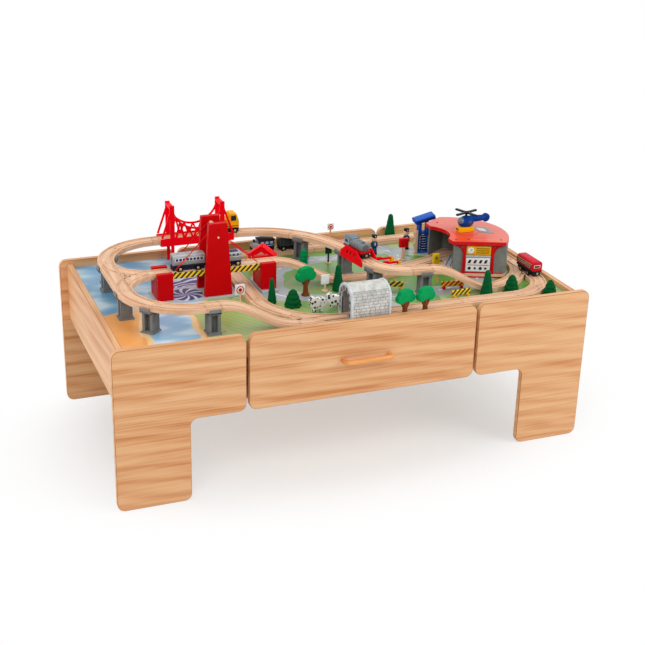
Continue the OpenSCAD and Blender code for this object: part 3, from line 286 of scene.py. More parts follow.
# %% [markdown]
# The studio is white: a pale floor that keeps a soft shadow, and a white world behind it.
# The lamps stay at a plain level, so a colour renders about as it is written.
# What the camera sees of floor and world is lifted to white by Light Path, not by more light on the table:
# fully far away, and only a little close to it, where the floor has to keep the shadow.

# %% Floor
bpy.context.scene.view_settings.view_transform = "Standard"


def seen_ray(finish):
    """1 for camera, glossy and transmission rays, and 0 for the rays that light the object."""
    path = finish.node("ShaderNodeLightPath").socket.node
    camera_ray, glossy, through = (Val(finish, path.outputs[k])
                                   for k in ("Is Camera Ray", "Is Glossy Ray", "Is Transmission Ray"))
    return camera_ray.fold("MAXIMUM", glossy).fold("MAXIMUM", through)


FLOOR_REACH, FLOOR_LIFT, LIFT_FROM, LIFT_TO = 30.0, 0.42, 0.5, 0.92
FLOOR_TONES = (0.9, 0.89, 0.88, 1), (0.93, 0.92, 0.91, 1)
floor_mesh = bpy.data.meshes.new("floor")
corners = [(FLOOR_REACH * x, FLOOR_REACH * y, 0) for x, y in ((-1, -1), (1, -1), (1, 1), (-1, 1))]
floor_mesh.from_pydata(corners, [], [(0, 1, 2, 3)])
floor = bpy.data.objects.new("floor", floor_mesh)
bpy.context.scene.collection.objects.link(floor)
floor_paint = Finish("floor_paint")
speck = floor_paint.noise(floor_paint.place(), 3.0)
floor_paint.finish(floor_paint.mix(speck, *FLOOR_TONES), 0.9)
away = floor_paint.node("ShaderNodeVectorMath", {"operation": "LENGTH"}, {0: floor_paint.place((1, 1.7, 1))}, out=1)
lift = FLOOR_LIFT + away.over(LIFT_FROM, LIFT_TO) * (1 - FLOOR_LIFT)
white = floor_paint.node("ShaderNodeEmission", {}, {"Color": (1, 1, 1, 1), "Strength": 1.0})
plain = Val(floor_paint, floor_paint.shader.outputs[0])
lifted = floor_paint.node("ShaderNodeMixShader", {}, {0: seen_ray(floor_paint) * lift, 1: plain, 2: white})
floor_paint.join(lifted, floor_paint.tree.nodes["Material Output"].inputs[0])
floor_mesh.materials.append(floor_paint.material)

# %% [markdown]
# The world is a plain white sky, dimmer for the rays that light the table than for those that show it.
# Four soft boxes give the rest: a key from the front left, a fill, one from above and one on the left end.

# %% World and lamps
SKY_LIGHT, TABLE_MIDDLE = 0.62, (0, 0, 0.35)
world = bpy.data.worlds.new("studio")
bpy.context.scene.world = world
world.use_nodes = True
sky = Finish.__new__(Finish)
sky.tree = world.node_tree
back = sky.tree.nodes["Background"]
back.inputs["Color"].default_value = (1, 1, 1, 1)
sky.join(SKY_LIGHT + seen_ray(sky) * (1 - SKY_LIGHT), back.inputs["Strength"])


def lamp(name, at, aim, size, watts):
    """A square soft box at one point, turned to face another."""
    light = bpy.data.lights.new(name, "AREA")
    light.size, light.energy = size, watts
    box = bpy.data.objects.new(name, light)
    bpy.context.scene.collection.objects.link(box)
    way = Matrix.Translation(at).translation - Matrix.Translation(aim).translation
    box.matrix_world = Matrix.Translation(at) @ way.to_track_quat("Z", "Y").to_matrix().to_4x4()


lamp("key", (-1.6, -2.4, 2.8), TABLE_MIDDLE, 1.6, 28)
lamp("fill", (2.2, -1.9, 2.0), (0.2, 0, 0.35), 2.0, 36)
lamp("top", (0.2, 0.6, 3.2), TABLE_MIDDLE, 2.4, 22)
lamp("side", (-2.7, 0.45, 1.2), (-0.6, 0, 0.3), 1.4, 16)
print("stage: floor lift", FLOOR_LIFT, "sky", SKY_LIGHT)

# %% [markdown]
# Nearly every toy here is a stack of closed rings: a turned wheel is a stack of circles, a moulded
# block a stack of rounded rectangles, a sawn shape a stack of two outlines with soft edges.
# So one function skins a stack of rings, and the others only work out the rings as whole arrays.

# %% Shapes from rings
OTHER_AXES = (1, 2), (2, 0), (0, 1)
CORNER_STEPS, ODD_WAY = 4, np.array([0.31, 0.22, 0.92])


def skin(rings):
    """Quads join each ring of an (m, n, 3) stack to the next, and one flat face closes each end."""
    rings = np.asarray(rings, float)
    m, n = rings.shape[:2]
    index = np.arange(m * n).reshape(m, n)
    beside = np.roll(index, -1, 1)
    quads = np.stack([index[:-1], beside[:-1], beside[1:], index[1:]], -1).reshape(-1, 4)
    return rings.reshape(-1, 3), quads.tolist() + [index[0, ::-1].tolist(), index[-1].tolist()]


def angles(n):
    """Even steps round a circle."""
    return np.linspace(0, 2 * np.pi, n, endpoint=False)


def unit(rows):
    """Each row of an array divided by its length."""
    return rows / np.linalg.norm(rows, axis=1)[:, None]


def soft_rect(w, h, r):
    """Points of a rectangle about the origin: each corner's centre plus r times a quarter circle."""
    t = np.radians(np.add.outer(np.arange(4) * 90.0, np.linspace(0, 90, CORNER_STEPS + 1)))
    sx, sy = np.array([[1], [-1], [-1], [1]]), np.array([[1], [1], [-1], [-1]])
    return np.stack([sx * (w / 2 - r) + r * np.cos(t), sy * (h / 2 - r) + r * np.sin(t)], -1).reshape(-1, 2)


def end_rounding(length, edge, steps=3):
    """Heights and drawn-in amounts of a stack whose two ends are quarter circles of radius edge."""
    t = np.radians(np.linspace(0, 90, steps + 1))
    up, inward = edge * (1 - np.cos(t)), edge * (1 - np.sin(t))
    return np.concatenate([up, length - up[::-1]]), np.concatenate([inward, inward[::-1]])


def block(corner, opposite, r=2.0, edge=0.8, along=2):
    """A rounded rectangle carried along one axis, drawn in by a quarter circle at both ends."""
    low, high = np.minimum(corner, opposite).astype(float), np.maximum(corner, opposite).astype(float)
    a, b = OTHER_AXES[along]
    size, middle = high - low, (low + high) / 2
    edge = min(edge, size.min() * 0.45)
    r = min(max(r, edge * 1.05), size[[a, b]].min() * 0.49)
    heights, drawn = end_rounding(size[along], edge)
    rings = np.zeros((len(heights), 4 * (CORNER_STEPS + 1), 3))
    for k, d in enumerate(drawn):
        rings[k][:, [a, b]] = soft_rect(size[a] - 2 * d, size[b] - 2 * d, r - d) + middle[[a, b]]
        rings[k][:, along] = low[along] + heights[k]
    return skin(rings)


def lathe(profile, n=28, along=2):
    """A profile of (radius, height) points turned round one axis: radius times a circle, at each height."""
    radius, height = np.array(profile, float).T
    a, b = OTHER_AXES[along]
    rings = np.zeros((len(radius), n, 3))
    rings[..., a] = np.multiply.outer(radius, np.cos(angles(n)))
    rings[..., b] = np.multiply.outer(radius, np.sin(angles(n)))
    rings[..., along] = height[:, None]
    return skin(rings)


def tube(path, radius, n=10):
    """A circle carried along a path; each ring stands square to it. No path here runs along ODD_WAY."""
    path = np.array(path, float)
    way = unit(np.gradient(path, axis=0))
    side = unit(np.cross(way, ODD_WAY))
    other = np.cross(way, side)
    t = angles(n)[:, None]
    radius = np.broadcast_to(radius, len(path))[:, None, None]
    return skin(path[:, None] + radius * (side[:, None] * np.cos(t) + other[:, None] * np.sin(t)))


def inset(outline, d):
    """An outline moved inward by d: each point goes along the bisector of its two sides."""
    ahead = np.roll(outline, -1, 0) - outline
    ahead /= np.linalg.norm(ahead, axis=1)[:, None] + 1e-12
    normal = np.stack([-ahead[:, 1], ahead[:, 0]], -1)
    both = normal + np.roll(normal, 1, 0)
    scale = 1 / np.maximum((both * both).sum(1) / 2, 0.35)
    return outline + d * both * scale[:, None]


def plate(outline, thick, edge=0.6, steps=2):
    """An outline, counter-clockwise, carried up by its thickness, with quarter-round edges."""
    outline = np.array(outline, float)
    heights, drawn = end_rounding(thick, edge, steps)
    return skin([np.column_stack([inset(outline, d), np.full(len(outline), h)]) for h, d in zip(heights, drawn)])


def filleted(points, radius, steps=5):
    """A polygon with its corners rounded: each corner is a parabola between two points of its sides."""
    points = np.array(points, float)
    radius = np.broadcast_to(radius, len(points))[:, None]
    start, end = (points + side * np.minimum(radius / np.linalg.norm(side, axis=1)[:, None], 0.49)
                  for side in (np.roll(points, 1, 0) - points, np.roll(points, -1, 0) - points))
    t = np.linspace(0, 1, steps + 1)[None, :, None]
    bend = (1 - t) ** 2 * start[:, None] + 2 * t * (1 - t) * points[:, None] + t ** 2 * end[:, None]
    return bend.reshape(-1, 2)


def ball(centre, radii, n=24):
    """An ellipsoid: rings of radius cos(v) at height sin(v), stretched."""
    v, u = np.radians(np.linspace(-90, 90, n // 2 + 1)), angles(n)
    rings = np.stack([np.multiply.outer(np.cos(v), np.cos(u)), np.multiply.outer(np.cos(v), np.sin(u)),
                      np.multiply.outer(np.sin(v), np.ones(n))], -1)
    return skin(rings * np.array(radii) + np.array(centre))


def put(shape, at=(0, 0, 0), turn=0.0, stand=False, face_x=False, lean=0.0):
    """Places a shape: stand tips its plan up, face_x sets the plan across X, lean tilts about Y, turn about Z."""
    verts, faces = shape
    x, y, z = verts.T
    if stand:
        x, y, z = x, -z, y
    if face_x:
        x, y, z = z, x, y
    c, s = math.cos(math.radians(lean)), math.sin(math.radians(lean))
    x, z = c * x + s * z, c * z - s * x
    c, s = math.cos(math.radians(turn)), math.sin(math.radians(turn))
    return np.column_stack([c * x - s * y, s * x + c * y, z]) + np.array(at, float), faces


def painted(finish, paint, *shapes):
    """Parts of one finish and one colour."""
    return [(shape, finish, paint) for shape in shapes]


def placed(parts, at, turn=0.0):
    """Puts every shape of a list of (shape, finish, paint) parts at one place."""
    return [(put(shape, at, turn), finish, paint) for shape, finish, paint in parts]


print("shapes: skin, block, lathe, tube, plate, ball")

# %% [markdown]
# A piece is one object made of several shapes, each with its finish and its paint colour.
# The colour is stored on the faces, so one lacquer serves every painted toy.
# Wood reads a second stored value: how far along and across the grain a point lies, piece by piece,
# as if each were sawn from its own board.

# %% Grain and paint
GRAIN_STEP = np.array([1.37, 0.61, 0.23])


def read(items, key, width, kind=float):
    """One kind of value of a mesh as an array, with a row for each item."""
    flat = np.zeros(len(items) * width, kind)
    items.foreach_get(key, flat)
    return flat.reshape(-1, width)


def islands(count, edges):
    """A label for each vertex, the same over each connected part: labels sink along edges until they rest."""
    label = np.arange(count)
    while True:
        lower = label.copy()
        np.minimum.at(lower, edges[:, 0], label[edges[:, 1]])
        np.minimum.at(lower, edges[:, 1], label[edges[:, 0]])
        lower = lower[lower]
        if (lower == label).all():
            return label
        label = lower


def lay_grain(mesh, along=None):
    """Stores grain coordinates: along each part's longest direction, or a given axis, with its own offset."""
    co = read(mesh.vertices, "co", 3)
    label = islands(len(co), read(mesh.edges, "vertices", 2, int))
    grain = np.zeros_like(co)
    for k, start in enumerate(np.unique(label)):
        part = label == start
        flat = co[part] - co[part].mean(0)
        way = np.array(along, float) if along else np.linalg.eigh(flat.T @ flat)[1][:, -1]
        way = way / np.linalg.norm(way)
        across = np.cross([0, 0, 1], way)
        across = across / np.linalg.norm(across) if np.linalg.norm(across) > 0.1 else np.array([1.0, 0, 0])
        grain[part] = flat @ np.column_stack([way, across, np.cross(way, across)]) + k * GRAIN_STEP
    mesh.attributes.new("grain", "FLOAT_VECTOR", "POINT").data.foreach_set("vector", grain.ravel())


def lay_paint(mesh, colours):
    """Stores one colour for each face."""
    every = np.broadcast_to(np.array(colours, float), (len(mesh.polygons), 4))
    mesh.attributes.new("paint", "FLOAT_COLOR", "FACE").data.foreach_set("color", every.ravel())


print("stored on a mesh: grain and paint")

# %% [markdown]
# Two makers use these. The first puts new shapes together as one object; the second copies a CAD node,
# merges its triangles and lets a Bevel soften its edges. Both ride on the body that the piece belongs to.

# %% Pieces
JOIN, THIN, COPY_THIN, COPY_SMOOTH = 1e-7, 1e-8, 1e-6, 35
FLAT_ANGLE, BEVEL_ANGLE = math.radians(0.6), math.radians(40)


def cleaned(mesh, merge, thin, copied):
    """Merges doubles and slivers; a copy's flat neighbours are joined, a new piece's faces turned outward."""
    work = bmesh.new()
    work.from_mesh(mesh)
    bmesh.ops.remove_doubles(work, verts=work.verts, dist=merge)
    bmesh.ops.dissolve_degenerate(work, dist=thin, edges=work.edges)
    if copied:
        bmesh.ops.dissolve_limit(work, angle_limit=FLAT_ANGLE, verts=work.verts, edges=work.edges)
    else:
        bmesh.ops.recalc_face_normals(work, faces=work.faces)
    work.to_mesh(mesh)
    work.free()


def dressed(mesh, body, stands_for, smooth, grain):
    """Smooths, links and rides one finished mesh; without a body it rides on none."""
    mesh.polygons.foreach_set("use_smooth", np.ones(len(mesh.polygons), bool))
    mesh.set_sharp_from_angle(angle=math.radians(smooth))
    if grain is not None:
        lay_grain(mesh, grain if grain != "longest" else None)
    obj = bpy.data.objects.new(mesh.name, mesh)
    bpy.context.scene.collection.objects.link(obj)
    if body:
        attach(obj, body)
    if stands_for:
        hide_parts(*stands_for)
    print("piece:", mesh.name, len(mesh.polygons), "faces")
    return obj


def piece(name, body, parts, stands_for=(), smooth=40, grain=None):
    """One object from (shape, finish, paint) parts, in millimetres; a paint is one colour, or one for each face."""
    verts, faces, slots, paints, finishes = [], [], [], [], []
    for (points, sides), finish, paint in parts:
        start = sum(map(len, verts))
        if finish not in finishes:
            finishes.append(finish)
        verts.append(points)
        faces += [[start + i for i in side] for side in sides]
        slots += [finishes.index(finish)] * len(sides)
        paints += list(paint) if np.ndim(paint) == 2 else [paint] * len(sides)
    mesh = bpy.data.meshes.new(name)
    mesh.from_pydata((np.vstack(verts) * MM).tolist(), [], faces)
    for finish in finishes:
        mesh.materials.append(finish)
    mesh.polygons.foreach_set("material_index", slots)
    lay_paint(mesh, paints)
    cleaned(mesh, JOIN, THIN, copied=False)
    return dressed(mesh, body, stands_for, smooth, grain)


def rounded_copy(node, finish, soft, grain=None, paint=None, merge=0.02, segments=2, rim=None):
    """A copy of a CAD node, its triangles merged and its sharp edges softened, that stands for the node.

    A paint is one colour, or a function of the faces' middles, in millimetres, and normals."""
    source = NODES[node].data
    mesh = bpy.data.meshes.new(node + "_shaped")
    corners = read(source.polygons, "vertices", 3, int)
    mesh.from_pydata(read(source.vertices, "co", 3).tolist(), [], corners.tolist())
    cleaned(mesh, merge * MM, COPY_THIN, copied=True)
    mesh.materials.append(finish)
    if callable(paint):
        paint = paint(read(mesh.polygons, "center", 3) / MM, read(mesh.polygons, "normal", 3))
    if paint is not None:
        lay_paint(mesh, paint)
    made = dressed(mesh, BODY_OF[node], (node,), COPY_SMOOTH, grain)
    edge = made.modifiers.new("soft_edges", "BEVEL")
    edge.width, edge.segments, edge.limit_method = soft * MM, segments, "ANGLE"
    edge.angle_limit, edge.use_clamp_overlap, edge.harden_normals = BEVEL_ANGLE, False, True
    # A rim finish goes on the bevel faces; on the panels it is a darker wood that paints shade along the rounded
    # edges.
    if rim is not None:
        mesh.materials.append(rim)
        edge.material = 1
    return made


print("makers: piece and rounded_copy")

# %% [markdown]
# The table is flat panels with a small round on every edge, and the rounds take a darker wood as painted shade
# along the edges.
# Modelling that round by hand is slow; a Bevel on a merged copy of the CAD panel does it exactly.
# The grain of the front and back runs along the table, that of the end boards across it.

# %% Table panels
ACROSS, LENGTHWISE, UPRIGHT = (0, 1, 0), (1, 0, 0), (0, 0, 1)
# The bevel faces of the panels take the darker rim wood, painted shade along their rounded edges.
for node in ("corner_panels_front", "panels_back", "drawer_front"):
    rounded_copy(node, PANEL, 1.3, LENGTHWISE, rim=PANEL_RIM_SHADE)
rounded_copy("end_boards", PANEL, 1.3, ACROSS, rim=PANEL_RIM_SHADE)
rounded_copy("support_frame", EDGE_WOOD, 0.8, "longest")
rounded_copy("drawer_walls", EDGE_WOOD, 0.8, "longest")
rounded_copy("drawer_bottom", EDGE_WOOD, 0.4, LENGTHWISE)
rounded_copy("joint_dowels", EDGE_WOOD, 0.5, ACROSS)
for node in ("drawer_runners", "drawer_slides"):
    rounded_copy(node, STEEL, 0.3, paint=STEEL_GREY)

# %% [markdown]
# The handle is a bow bent from one stick: straight ends that go into the drawer, and a bar that
# stands off the front. A rounded section carried along the bow gives it soft edges all round.

# %% Drawer handle
low, high = np.array(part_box("drawer_handle")) / MM
bow_reach, bar, bar_high, bend_r, bar_steps = 26.0, 10.5, 10.0, 11.0, 7
front_y, half = low[1] + bow_reach, (high[0] - low[0] - bar) / 2
bend = np.radians(np.linspace(0, 90, 9))
left_x = np.concatenate([[-half, -half], -half + bend_r * (1 - np.cos(bend))])
left_y = np.concatenate([[front_y + 10, front_y - 8], low[1] + bar / 2 + bend_r * (1 - np.sin(bend))])
bow_x = np.concatenate([left_x, np.linspace(-half + bend_r + 8, half - bend_r - 8, bar_steps), -left_x[::-1]])
bow_y = np.concatenate([left_y, np.full(bar_steps, low[1] + bar / 2), left_y[::-1]])
bow_way = unit(np.gradient(np.column_stack([bow_x, bow_y]), axis=0))
section = soft_rect(bar, bar_high, 3.2)
bow_z = (low[2] + high[2]) / 2
bow = skin(np.stack([
    bow_x[:, None] - bow_way[:, 1:] * section[:, 0], bow_y[:, None] + bow_way[:, :1] * section[:, 0],
    np.broadcast_to(bow_z + section[:, 1], (len(bow_x), len(section)))], -1))
piece("drawer_handle_bow", "drawer", [(bow, HANDLE, WHITE)], ("drawer_handle",), grain=LENGTHWISE)

# %% [markdown]
# The play board carries a printed landscape of its own design: a bay, a beach, a river, fields and a road.
# A picture file is not needed: each area is a mask worked out from the place on the board,
# with a little noise so that its edge looks hand drawn, and the colours are laid over one another.

# %% Printed fields and road
EDGE_WANDER = 0.09
board = Finish("board_print")
at = board.place()
px, py, _ = board.axes(at)
wander = board.noise(at, 7.0, 3.0)
wander_y = board.noise(board.place(shift=(3, 1, 0)), 6.0, 3.0)
wx, wy = px + (wander - 0.5) * EDGE_WANDER, py + (wander_y - 0.5) * EDGE_WANDER


def spread(x0, y0, size_x, size_y):
    """How far a place is from a centre, in units of an ellipse's half axes."""
    a, b = (wx - x0) / size_x, (wy - y0) / size_y
    return (a * a + b * b).fold("SQRT")


def along_line(x0, y0, slope, swing, wave):
    """Sideways distance from a swinging line that runs up the board."""
    return (wx - x0 - (wy - y0) * slope - ((wy * wave).fold("SINE")) * swing).fold("ABSOLUTE")


fields = board.node("ShaderNodeTexVoronoi", {}, {"Vector": board.place(shift=(0.3, 0.1, 0)), "Scale": 5.2}, out=1)
patch = board.axes(fields)[0]
grass = board.ramp(patch, (0.1, rgb(112, 158, 66)), (0.35, rgb(150, 186, 96)), (0.6, rgb(186, 206, 150)),
                   (0.85, rgb(96, 146, 62)))
furrow = ((px * 0.8 + py * 0.6) * 420).fold("SINE").over(-0.3, 0.6)
ploughed = furrow * patch.over(0.3, 0.34) * (1 - patch.over(0.46, 0.5)) * 0.75
grass = board.mix(ploughed, grass, rgb(196, 176, 122))
blade = board.noise(at, 240, 2.0)
grass = board.mix(blade * 0.25, grass, rgb(70, 120, 48))
road = along_line(0.18, 0.0, 0.25, 0.06, 14.0)
ring_road = (spread(0.16, 0.02, 0.30, 0.16) - 1.0).fold("ABSOLUTE") * 0.2
from_road = ring_road.fold("MINIMUM", road)
tarmac = 1 - from_road.over(0.026, 0.029)
dash = ((px + py) * 190).fold("SINE").over(0.0, 0.2) * (1 - from_road.over(0.0012, 0.002))
ground = board.mix(tarmac, grass, board.mix(blade, rgb(150, 160, 164), rgb(176, 184, 186)))
ground = board.mix(dash * tarmac, ground, rgb(246, 246, 240))

print("board print, land:", len(board.tree.nodes), "nodes")

# %% [markdown]
# Water and sand come over the land in the order of a painter: beach, bay, stream and pond.
# Flowers are the middles of small Voronoi cells, kept to one kind of field and off sand and water.

# %% Printed water, sand and flowers
beach = spread(-0.62, -0.02, 0.27, 0.62)
sand = board.ramp(wander, (0.3, rgb(240, 156, 70)), (0.65, rgb(246, 184, 112)))
ground = board.mix(1 - beach.over(0.97, 1.0), ground, sand)
bay = spread(-0.58, 0.20, 0.36, 0.24)
ripple = board.node("ShaderNodeTexWave", {"wave_type": "BANDS"},
                    {"Vector": board.place((1, 3.5, 1)), "Scale": 2.4, "Distortion": 9.0, "Detail": 3.0}, out=1)
water = board.ramp(ripple * 0.7 + wander * 0.3, (0.2, rgb(106, 160, 198)), (0.55, rgb(144, 186, 210)),
                   (0.85, rgb(190, 214, 226)))
ground = board.mix(1 - bay.over(0.97, 0.99), ground, water)
stream = along_line(-0.40, -0.12, 0.62, 0.03, 18.0)
inland = 1 - wy.over(0.0, 0.06)
brook = board.ramp(ripple, (0.2, rgb(146, 190, 222)), (0.8, rgb(198, 222, 236)))
ground = board.mix((1 - stream.over(0.062, 0.068)) * inland, ground, rgb(244, 206, 150))
ground = board.mix((1 - stream.over(0.048, 0.052)) * inland, ground, brook)
pond = spread(-0.315, 0.06, 0.085, 0.075)
swirl = ((pond * 22 + ripple * 5).fold("SINE")).over(0.1, 0.8)
ground = board.mix(1 - pond.over(0.96, 1.0), ground, board.mix(swirl, rgb(48, 62, 130), rgb(214, 220, 236)))
bloom = board.node("ShaderNodeTexVoronoi", {}, {"Vector": at, "Scale": 46.0})
petal = (1 - bloom.over(0.16, 0.22)) * patch.over(0.62, 0.66) * (1 - tarmac)
ground = board.mix(petal * beach.over(1.1, 1.15) * bay.over(1.1, 1.15), ground, rgb(222, 92, 60))
BOARD = board.finish(ground, 0.3 + blade * 0.1, blade, 0.00005, 0.1, Coat_Weight=0.25, Coat_Roughness=0.25)
rounded_copy("play_board", BOARD, 0.3)

# %% [markdown]
# Wooden track is milled from beech and has a small round on every edge; the grain of a curved piece
# runs straight, along its chord, because it is sawn from a straight board.
# The CAD pieces already have their grooves, pegs and sockets, so each gets a merged, softened copy.

# %% Tracks
for node in ("switch_tracks", "raised_tracks", "ground_tracks"):
    rounded_copy(node, BEECH, 0.7, "longest", merge=0.12)
rounded_copy("ramp_tracks", BEECH, 0.7, "longest")

# %% [markdown]
# The lifting bridge is glossy red plastic on grey plates, and its two leaves are wood between
# striped side beams. One finish serves a whole leaf: a mask across the leaf picks grain or stripes,
# and the stripes are a sine of height and length, so they slant.

# %% Lifting bridge
BRIDGE_Y, STRIPE_PITCH, BEAM_FROM, BEAM_TO = 28.0, 0.0135, 0.0200, 0.0203


def slanted(f, pitch, first, second):
    """Two colours in slanted bands: the sign of a sine along X less Z."""
    x, _, z = f.axes(f.place())
    return f.mix(((x - z) * (2 * math.pi / pitch)).fold("SINE").over(-0.12, 0.12), first, second)


leaf = Finish("leaf_wood_and_stripes")
leaf_grain, leaf_pores, leaf_tone = wood_colour(leaf, *BEECH_TONES)
leaf_y = leaf.axes(leaf.place())[1]
on_beam = (leaf_y - BRIDGE_Y * MM).fold("ABSOLUTE").over(BEAM_FROM, BEAM_TO)
leaf_colour = leaf.mix(on_beam, leaf_grain, slanted(leaf, STRIPE_PITCH, YELLOW, BLACK))
LEAF = leaf.finish(leaf_colour, 0.34 + leaf_pores * 0.2, leaf_tone, 0.0002, 0.25)
for node in ("left_leaf", "right_leaf"):
    rounded_copy(node, LEAF, 0.4, LENGTHWISE)

# %% [markdown]
# The bridge stands on a grey plate with a blue whirl printed on it: rays that bend as they go out.
# Their phase is the angle plus the distance from the middle; the print ends at its radius and at the plate's top.

# %% Bridge plate and towers
PLATE_GREY, WHIRL_DARK, WHIRL_PALE = rgb(186, 190, 192), rgb(52, 58, 132), rgb(214, 220, 234)
WHIRL_X, WHIRL_Y, WHIRL_R, PLATE_TOP, RAYS, RAY_BEND = -0.338, 0.022, 0.040, 0.375, 9, 150
ink = Finish("printed_plate")
ink_x, ink_y, ink_z = ink.axes(ink.place())
off_x, off_y = ink_x - WHIRL_X, ink_y - WHIRL_Y
far = (off_x * off_x + off_y * off_y).fold("SQRT")
rays = (off_y.fold("ARCTAN2", off_x) * RAYS + far * RAY_BEND).fold("SINE").over(0.2, 0.55)
off_top = (ink_z - PLATE_TOP).fold("ABSOLUTE").over(0.0004, 0.0008)
printed = (1 - far.over(WHIRL_R - 0.001, WHIRL_R)) * (1 - off_top)
grit = ink.noise(ink.place(), 420, 2.0)
PLATE = ink.finish(ink.mix(printed, ink.paint(), ink.mix(rays, WHIRL_DARK, WHIRL_PALE)), 0.4 + grit * 0.2,
                   grit, 0.00012, 0.3)


def base_paint(mid, normal):
    """Red where a face stands above the plate, grey on the plate itself."""
    return np.where(mid[:, 2:3] > PLATE_TOP / MM + 1, [RED], [PLATE_GREY])


rounded_copy("drawbridge_base", PLATE, 0.8, paint=base_paint)
rounded_copy("drawbridge_towers", PLASTIC, 1.6, paint=RED, segments=3)

# %% [markdown]
# A wooden stick turns between the tower heads and winds up the cords.
# It is a turned piece, so its profile, a list of radii along the stick, goes round the axis.
# A thinner pin at each end runs in the tower head.

# %% Winder
STICK_Z, RIVET_Z, TOWER_X = 540.0, 522, -266.5
stick_profile = [(4.6, -24.0), (5.0, -23.6), (5.0, -9), (4.7, -8.5), (4.7, 8.5), (5.0, 9), (5.0, 23.6), (4.6, 24.0)]
winder, rivets = [(lathe(stick_profile, 32, 1), BEECH, CREAM)], []
for side in (-1, 1):
    pin = lathe([(2.2, side * 23.5), (2.2, side * 37.9), (1.7, side * 38.3)], 16, 1)
    rivet = lathe([(2.3, side * 38.9), (2.3, side * 39.6), (1.7, side * 39.9)], 16, 1)
    winder.append((pin, PLASTIC, RED))
    rivets.append((rivet, LACQUER, CREAM))
piece("winder_stick", "winder", placed(winder, (TOWER_X, BRIDGE_Y, STICK_Z)), ("winder",),
      grain=ACROSS)
piece("tower_rivets", "table", placed(rivets, (TOWER_X, BRIDGE_Y, RIVET_Z)))

# %% [markdown]
# Each leaf hangs on two red cords. A cord is two thin strands twisted round a straight line,
# a helix whose angle grows with the length. The cords of a leaf are one piece on no body,
# with its place baked into the mesh.

# %% Lift cords
EYE_REACH, EYE_Z, WRAP, CORD_APART = 101.2, 444.9, 4.879, 21.5


def twisted(start, end, twist=8.0, thick=0.92, lay=0.62, steps=90):
    """Two strands round a line: offsets of lay times cosine and sine of an angle that grows along it."""
    start, end = np.array(start, float), np.array(end, float)
    length = np.linalg.norm(end - start)
    way = (end - start) / length
    side = np.cross(way, [0, 1, 0])
    side /= np.linalg.norm(side)
    t = np.linspace(0, 1, steps)[:, None]
    line, angle = start + t * (end - start), t * length * 2 * np.pi / twist
    round_it = np.cos(angle) * side + np.sin(angle) * np.cross(way, side)
    return [tube(line + lay * s * round_it, thick, 6) for s in (1, -1)]


CORD = lacquer("twisted_cord", 0.75, 0.0, 0.25, 0.5, grit=1500)
for side, body in ((-1, "left_leaf"), (1, "right_leaf")):
    eye_x, stick_x, stick_z = TOWER_X + side * EYE_REACH, TOWER_X - WRAP, STICK_Z - side * WRAP
    strands = [strand for y in (BRIDGE_Y - CORD_APART, BRIDGE_Y + CORD_APART)
               for strand in twisted((stick_x, y, stick_z), (eye_x, y, EYE_Z))]
    cords = piece(body + "_cords", None, painted(CORD, BRIGHT_RED, *strands), ("lift_cords",),
                  smooth=80)
    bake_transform(cords)

# %% [markdown]
# The suspension bridge and the girder sides are thin pierced mouldings.
# Their CAD shapes are right, so a softened copy in the same red is enough.

# %% Suspension bridge and girder
rounded_copy("suspension_bridge", PLASTIC, 0.7, paint=BRIGHT_RED)
rounded_copy("girder_sides", PLASTIC, 0.5, paint=BRIGHT_RED)

# %% [markdown]
# The raised line stands on grey moulded piers: a stepped foot, two walls with a deep recess between
# them, crossed ribs on the outer faces, and a cap whose lips hold the track.
# One function makes a pier about its own middle, and each is then set down where the CAD has it.

# %% Bridge piers
BOARD_TOP, PIER_GREY = 370.0, rgb(128, 130, 130)
PIER_SPOTS = ((-506, 120, 90), (-506, -64, 90), (-491.23, 184.0, 64), (-470.18, -159.8, -49), (-341, -210, 0),
              (19.6, 194.2, -47), (88.04, 60.44, -82), (110.2, -77.6, -68), (215.7, -137.9, -8))


def pier_parts():
    """Blocks for foot, walls, web and cap, and slanting ribs between evenly spaced heights."""
    shapes = [block((-17, -18, 0), (17, 18, 2.4), 2, 0.6), block((-15.6, -16.2, 2), (15.6, 16.2, 4.4), 2, 0.7),
              block((-7.4, -1.5, 4), (7.4, 1.5, 49), 0.6, 0.3), block((-14, -14, 46.5), (14, 14, 51.6), 1, 0.6),
              block((-14, -23.6, 51), (14, 23.6, 56), 1.2, 0.7)]
    heights = np.linspace(7, 48, 5)
    for side in (-1, 1):
        face = side * 13.9
        shapes += [block((side * 7, -14, 4), (side * 14, 14, 52), 1, 0.5),
                   block((-14, side * 21.6, 52), (14, side * 23.6, 63), 0.8, 0.6)]
        shapes += [tube([(face, -y, low), (face, y, high)], 0.9, 6)
                   for low, high in zip(heights[:-1], heights[1:]) for y in (11.5, -11.5)]
        shapes += [tube([(face, y, 5), (face, y, 50)], 1.0, 6) for y in (-12.4, 12.4)]
    return painted(MATT, PIER_GREY, *shapes)


piers = [part for x, y, turn in PIER_SPOTS for part in placed(pier_parts(), (x, y, BOARD_TOP), turn)]
piece("pier_mouldings", "table", piers, ("bridge_piers",))

# %% [markdown]
# The station is grey walls on a wooden plinth, open on the side of the track, under a thick red roof.
# Softened copies of the CAD parts give the walls and the roof; colour goes by where a face looks:
# up is salmon, sideways is red, down is grey. Near one corner the salmon goes over into orange with the distance.

# %% Station shell
ROOF_CORNER, ROOF_ORANGE, TOP_FROM, TOP_TO = (-0.352, 0.048, 0), rgb(228, 72, 44), 0.4672, 0.4676
rounded_copy("station_plinth", BEECH, 0.5, LENGTHWISE)
rounded_copy("station_walls", MATT, 0.4, paint=WALL_GREY)


def roof_paint(mid, normal):
    """Salmon where the face looks up, grey where it looks down, red between."""
    up = normal[:, 2:3]
    return np.where(up > 0.5, [SALMON], np.where(up < -0.5, [WALL_GREY], [RED]))


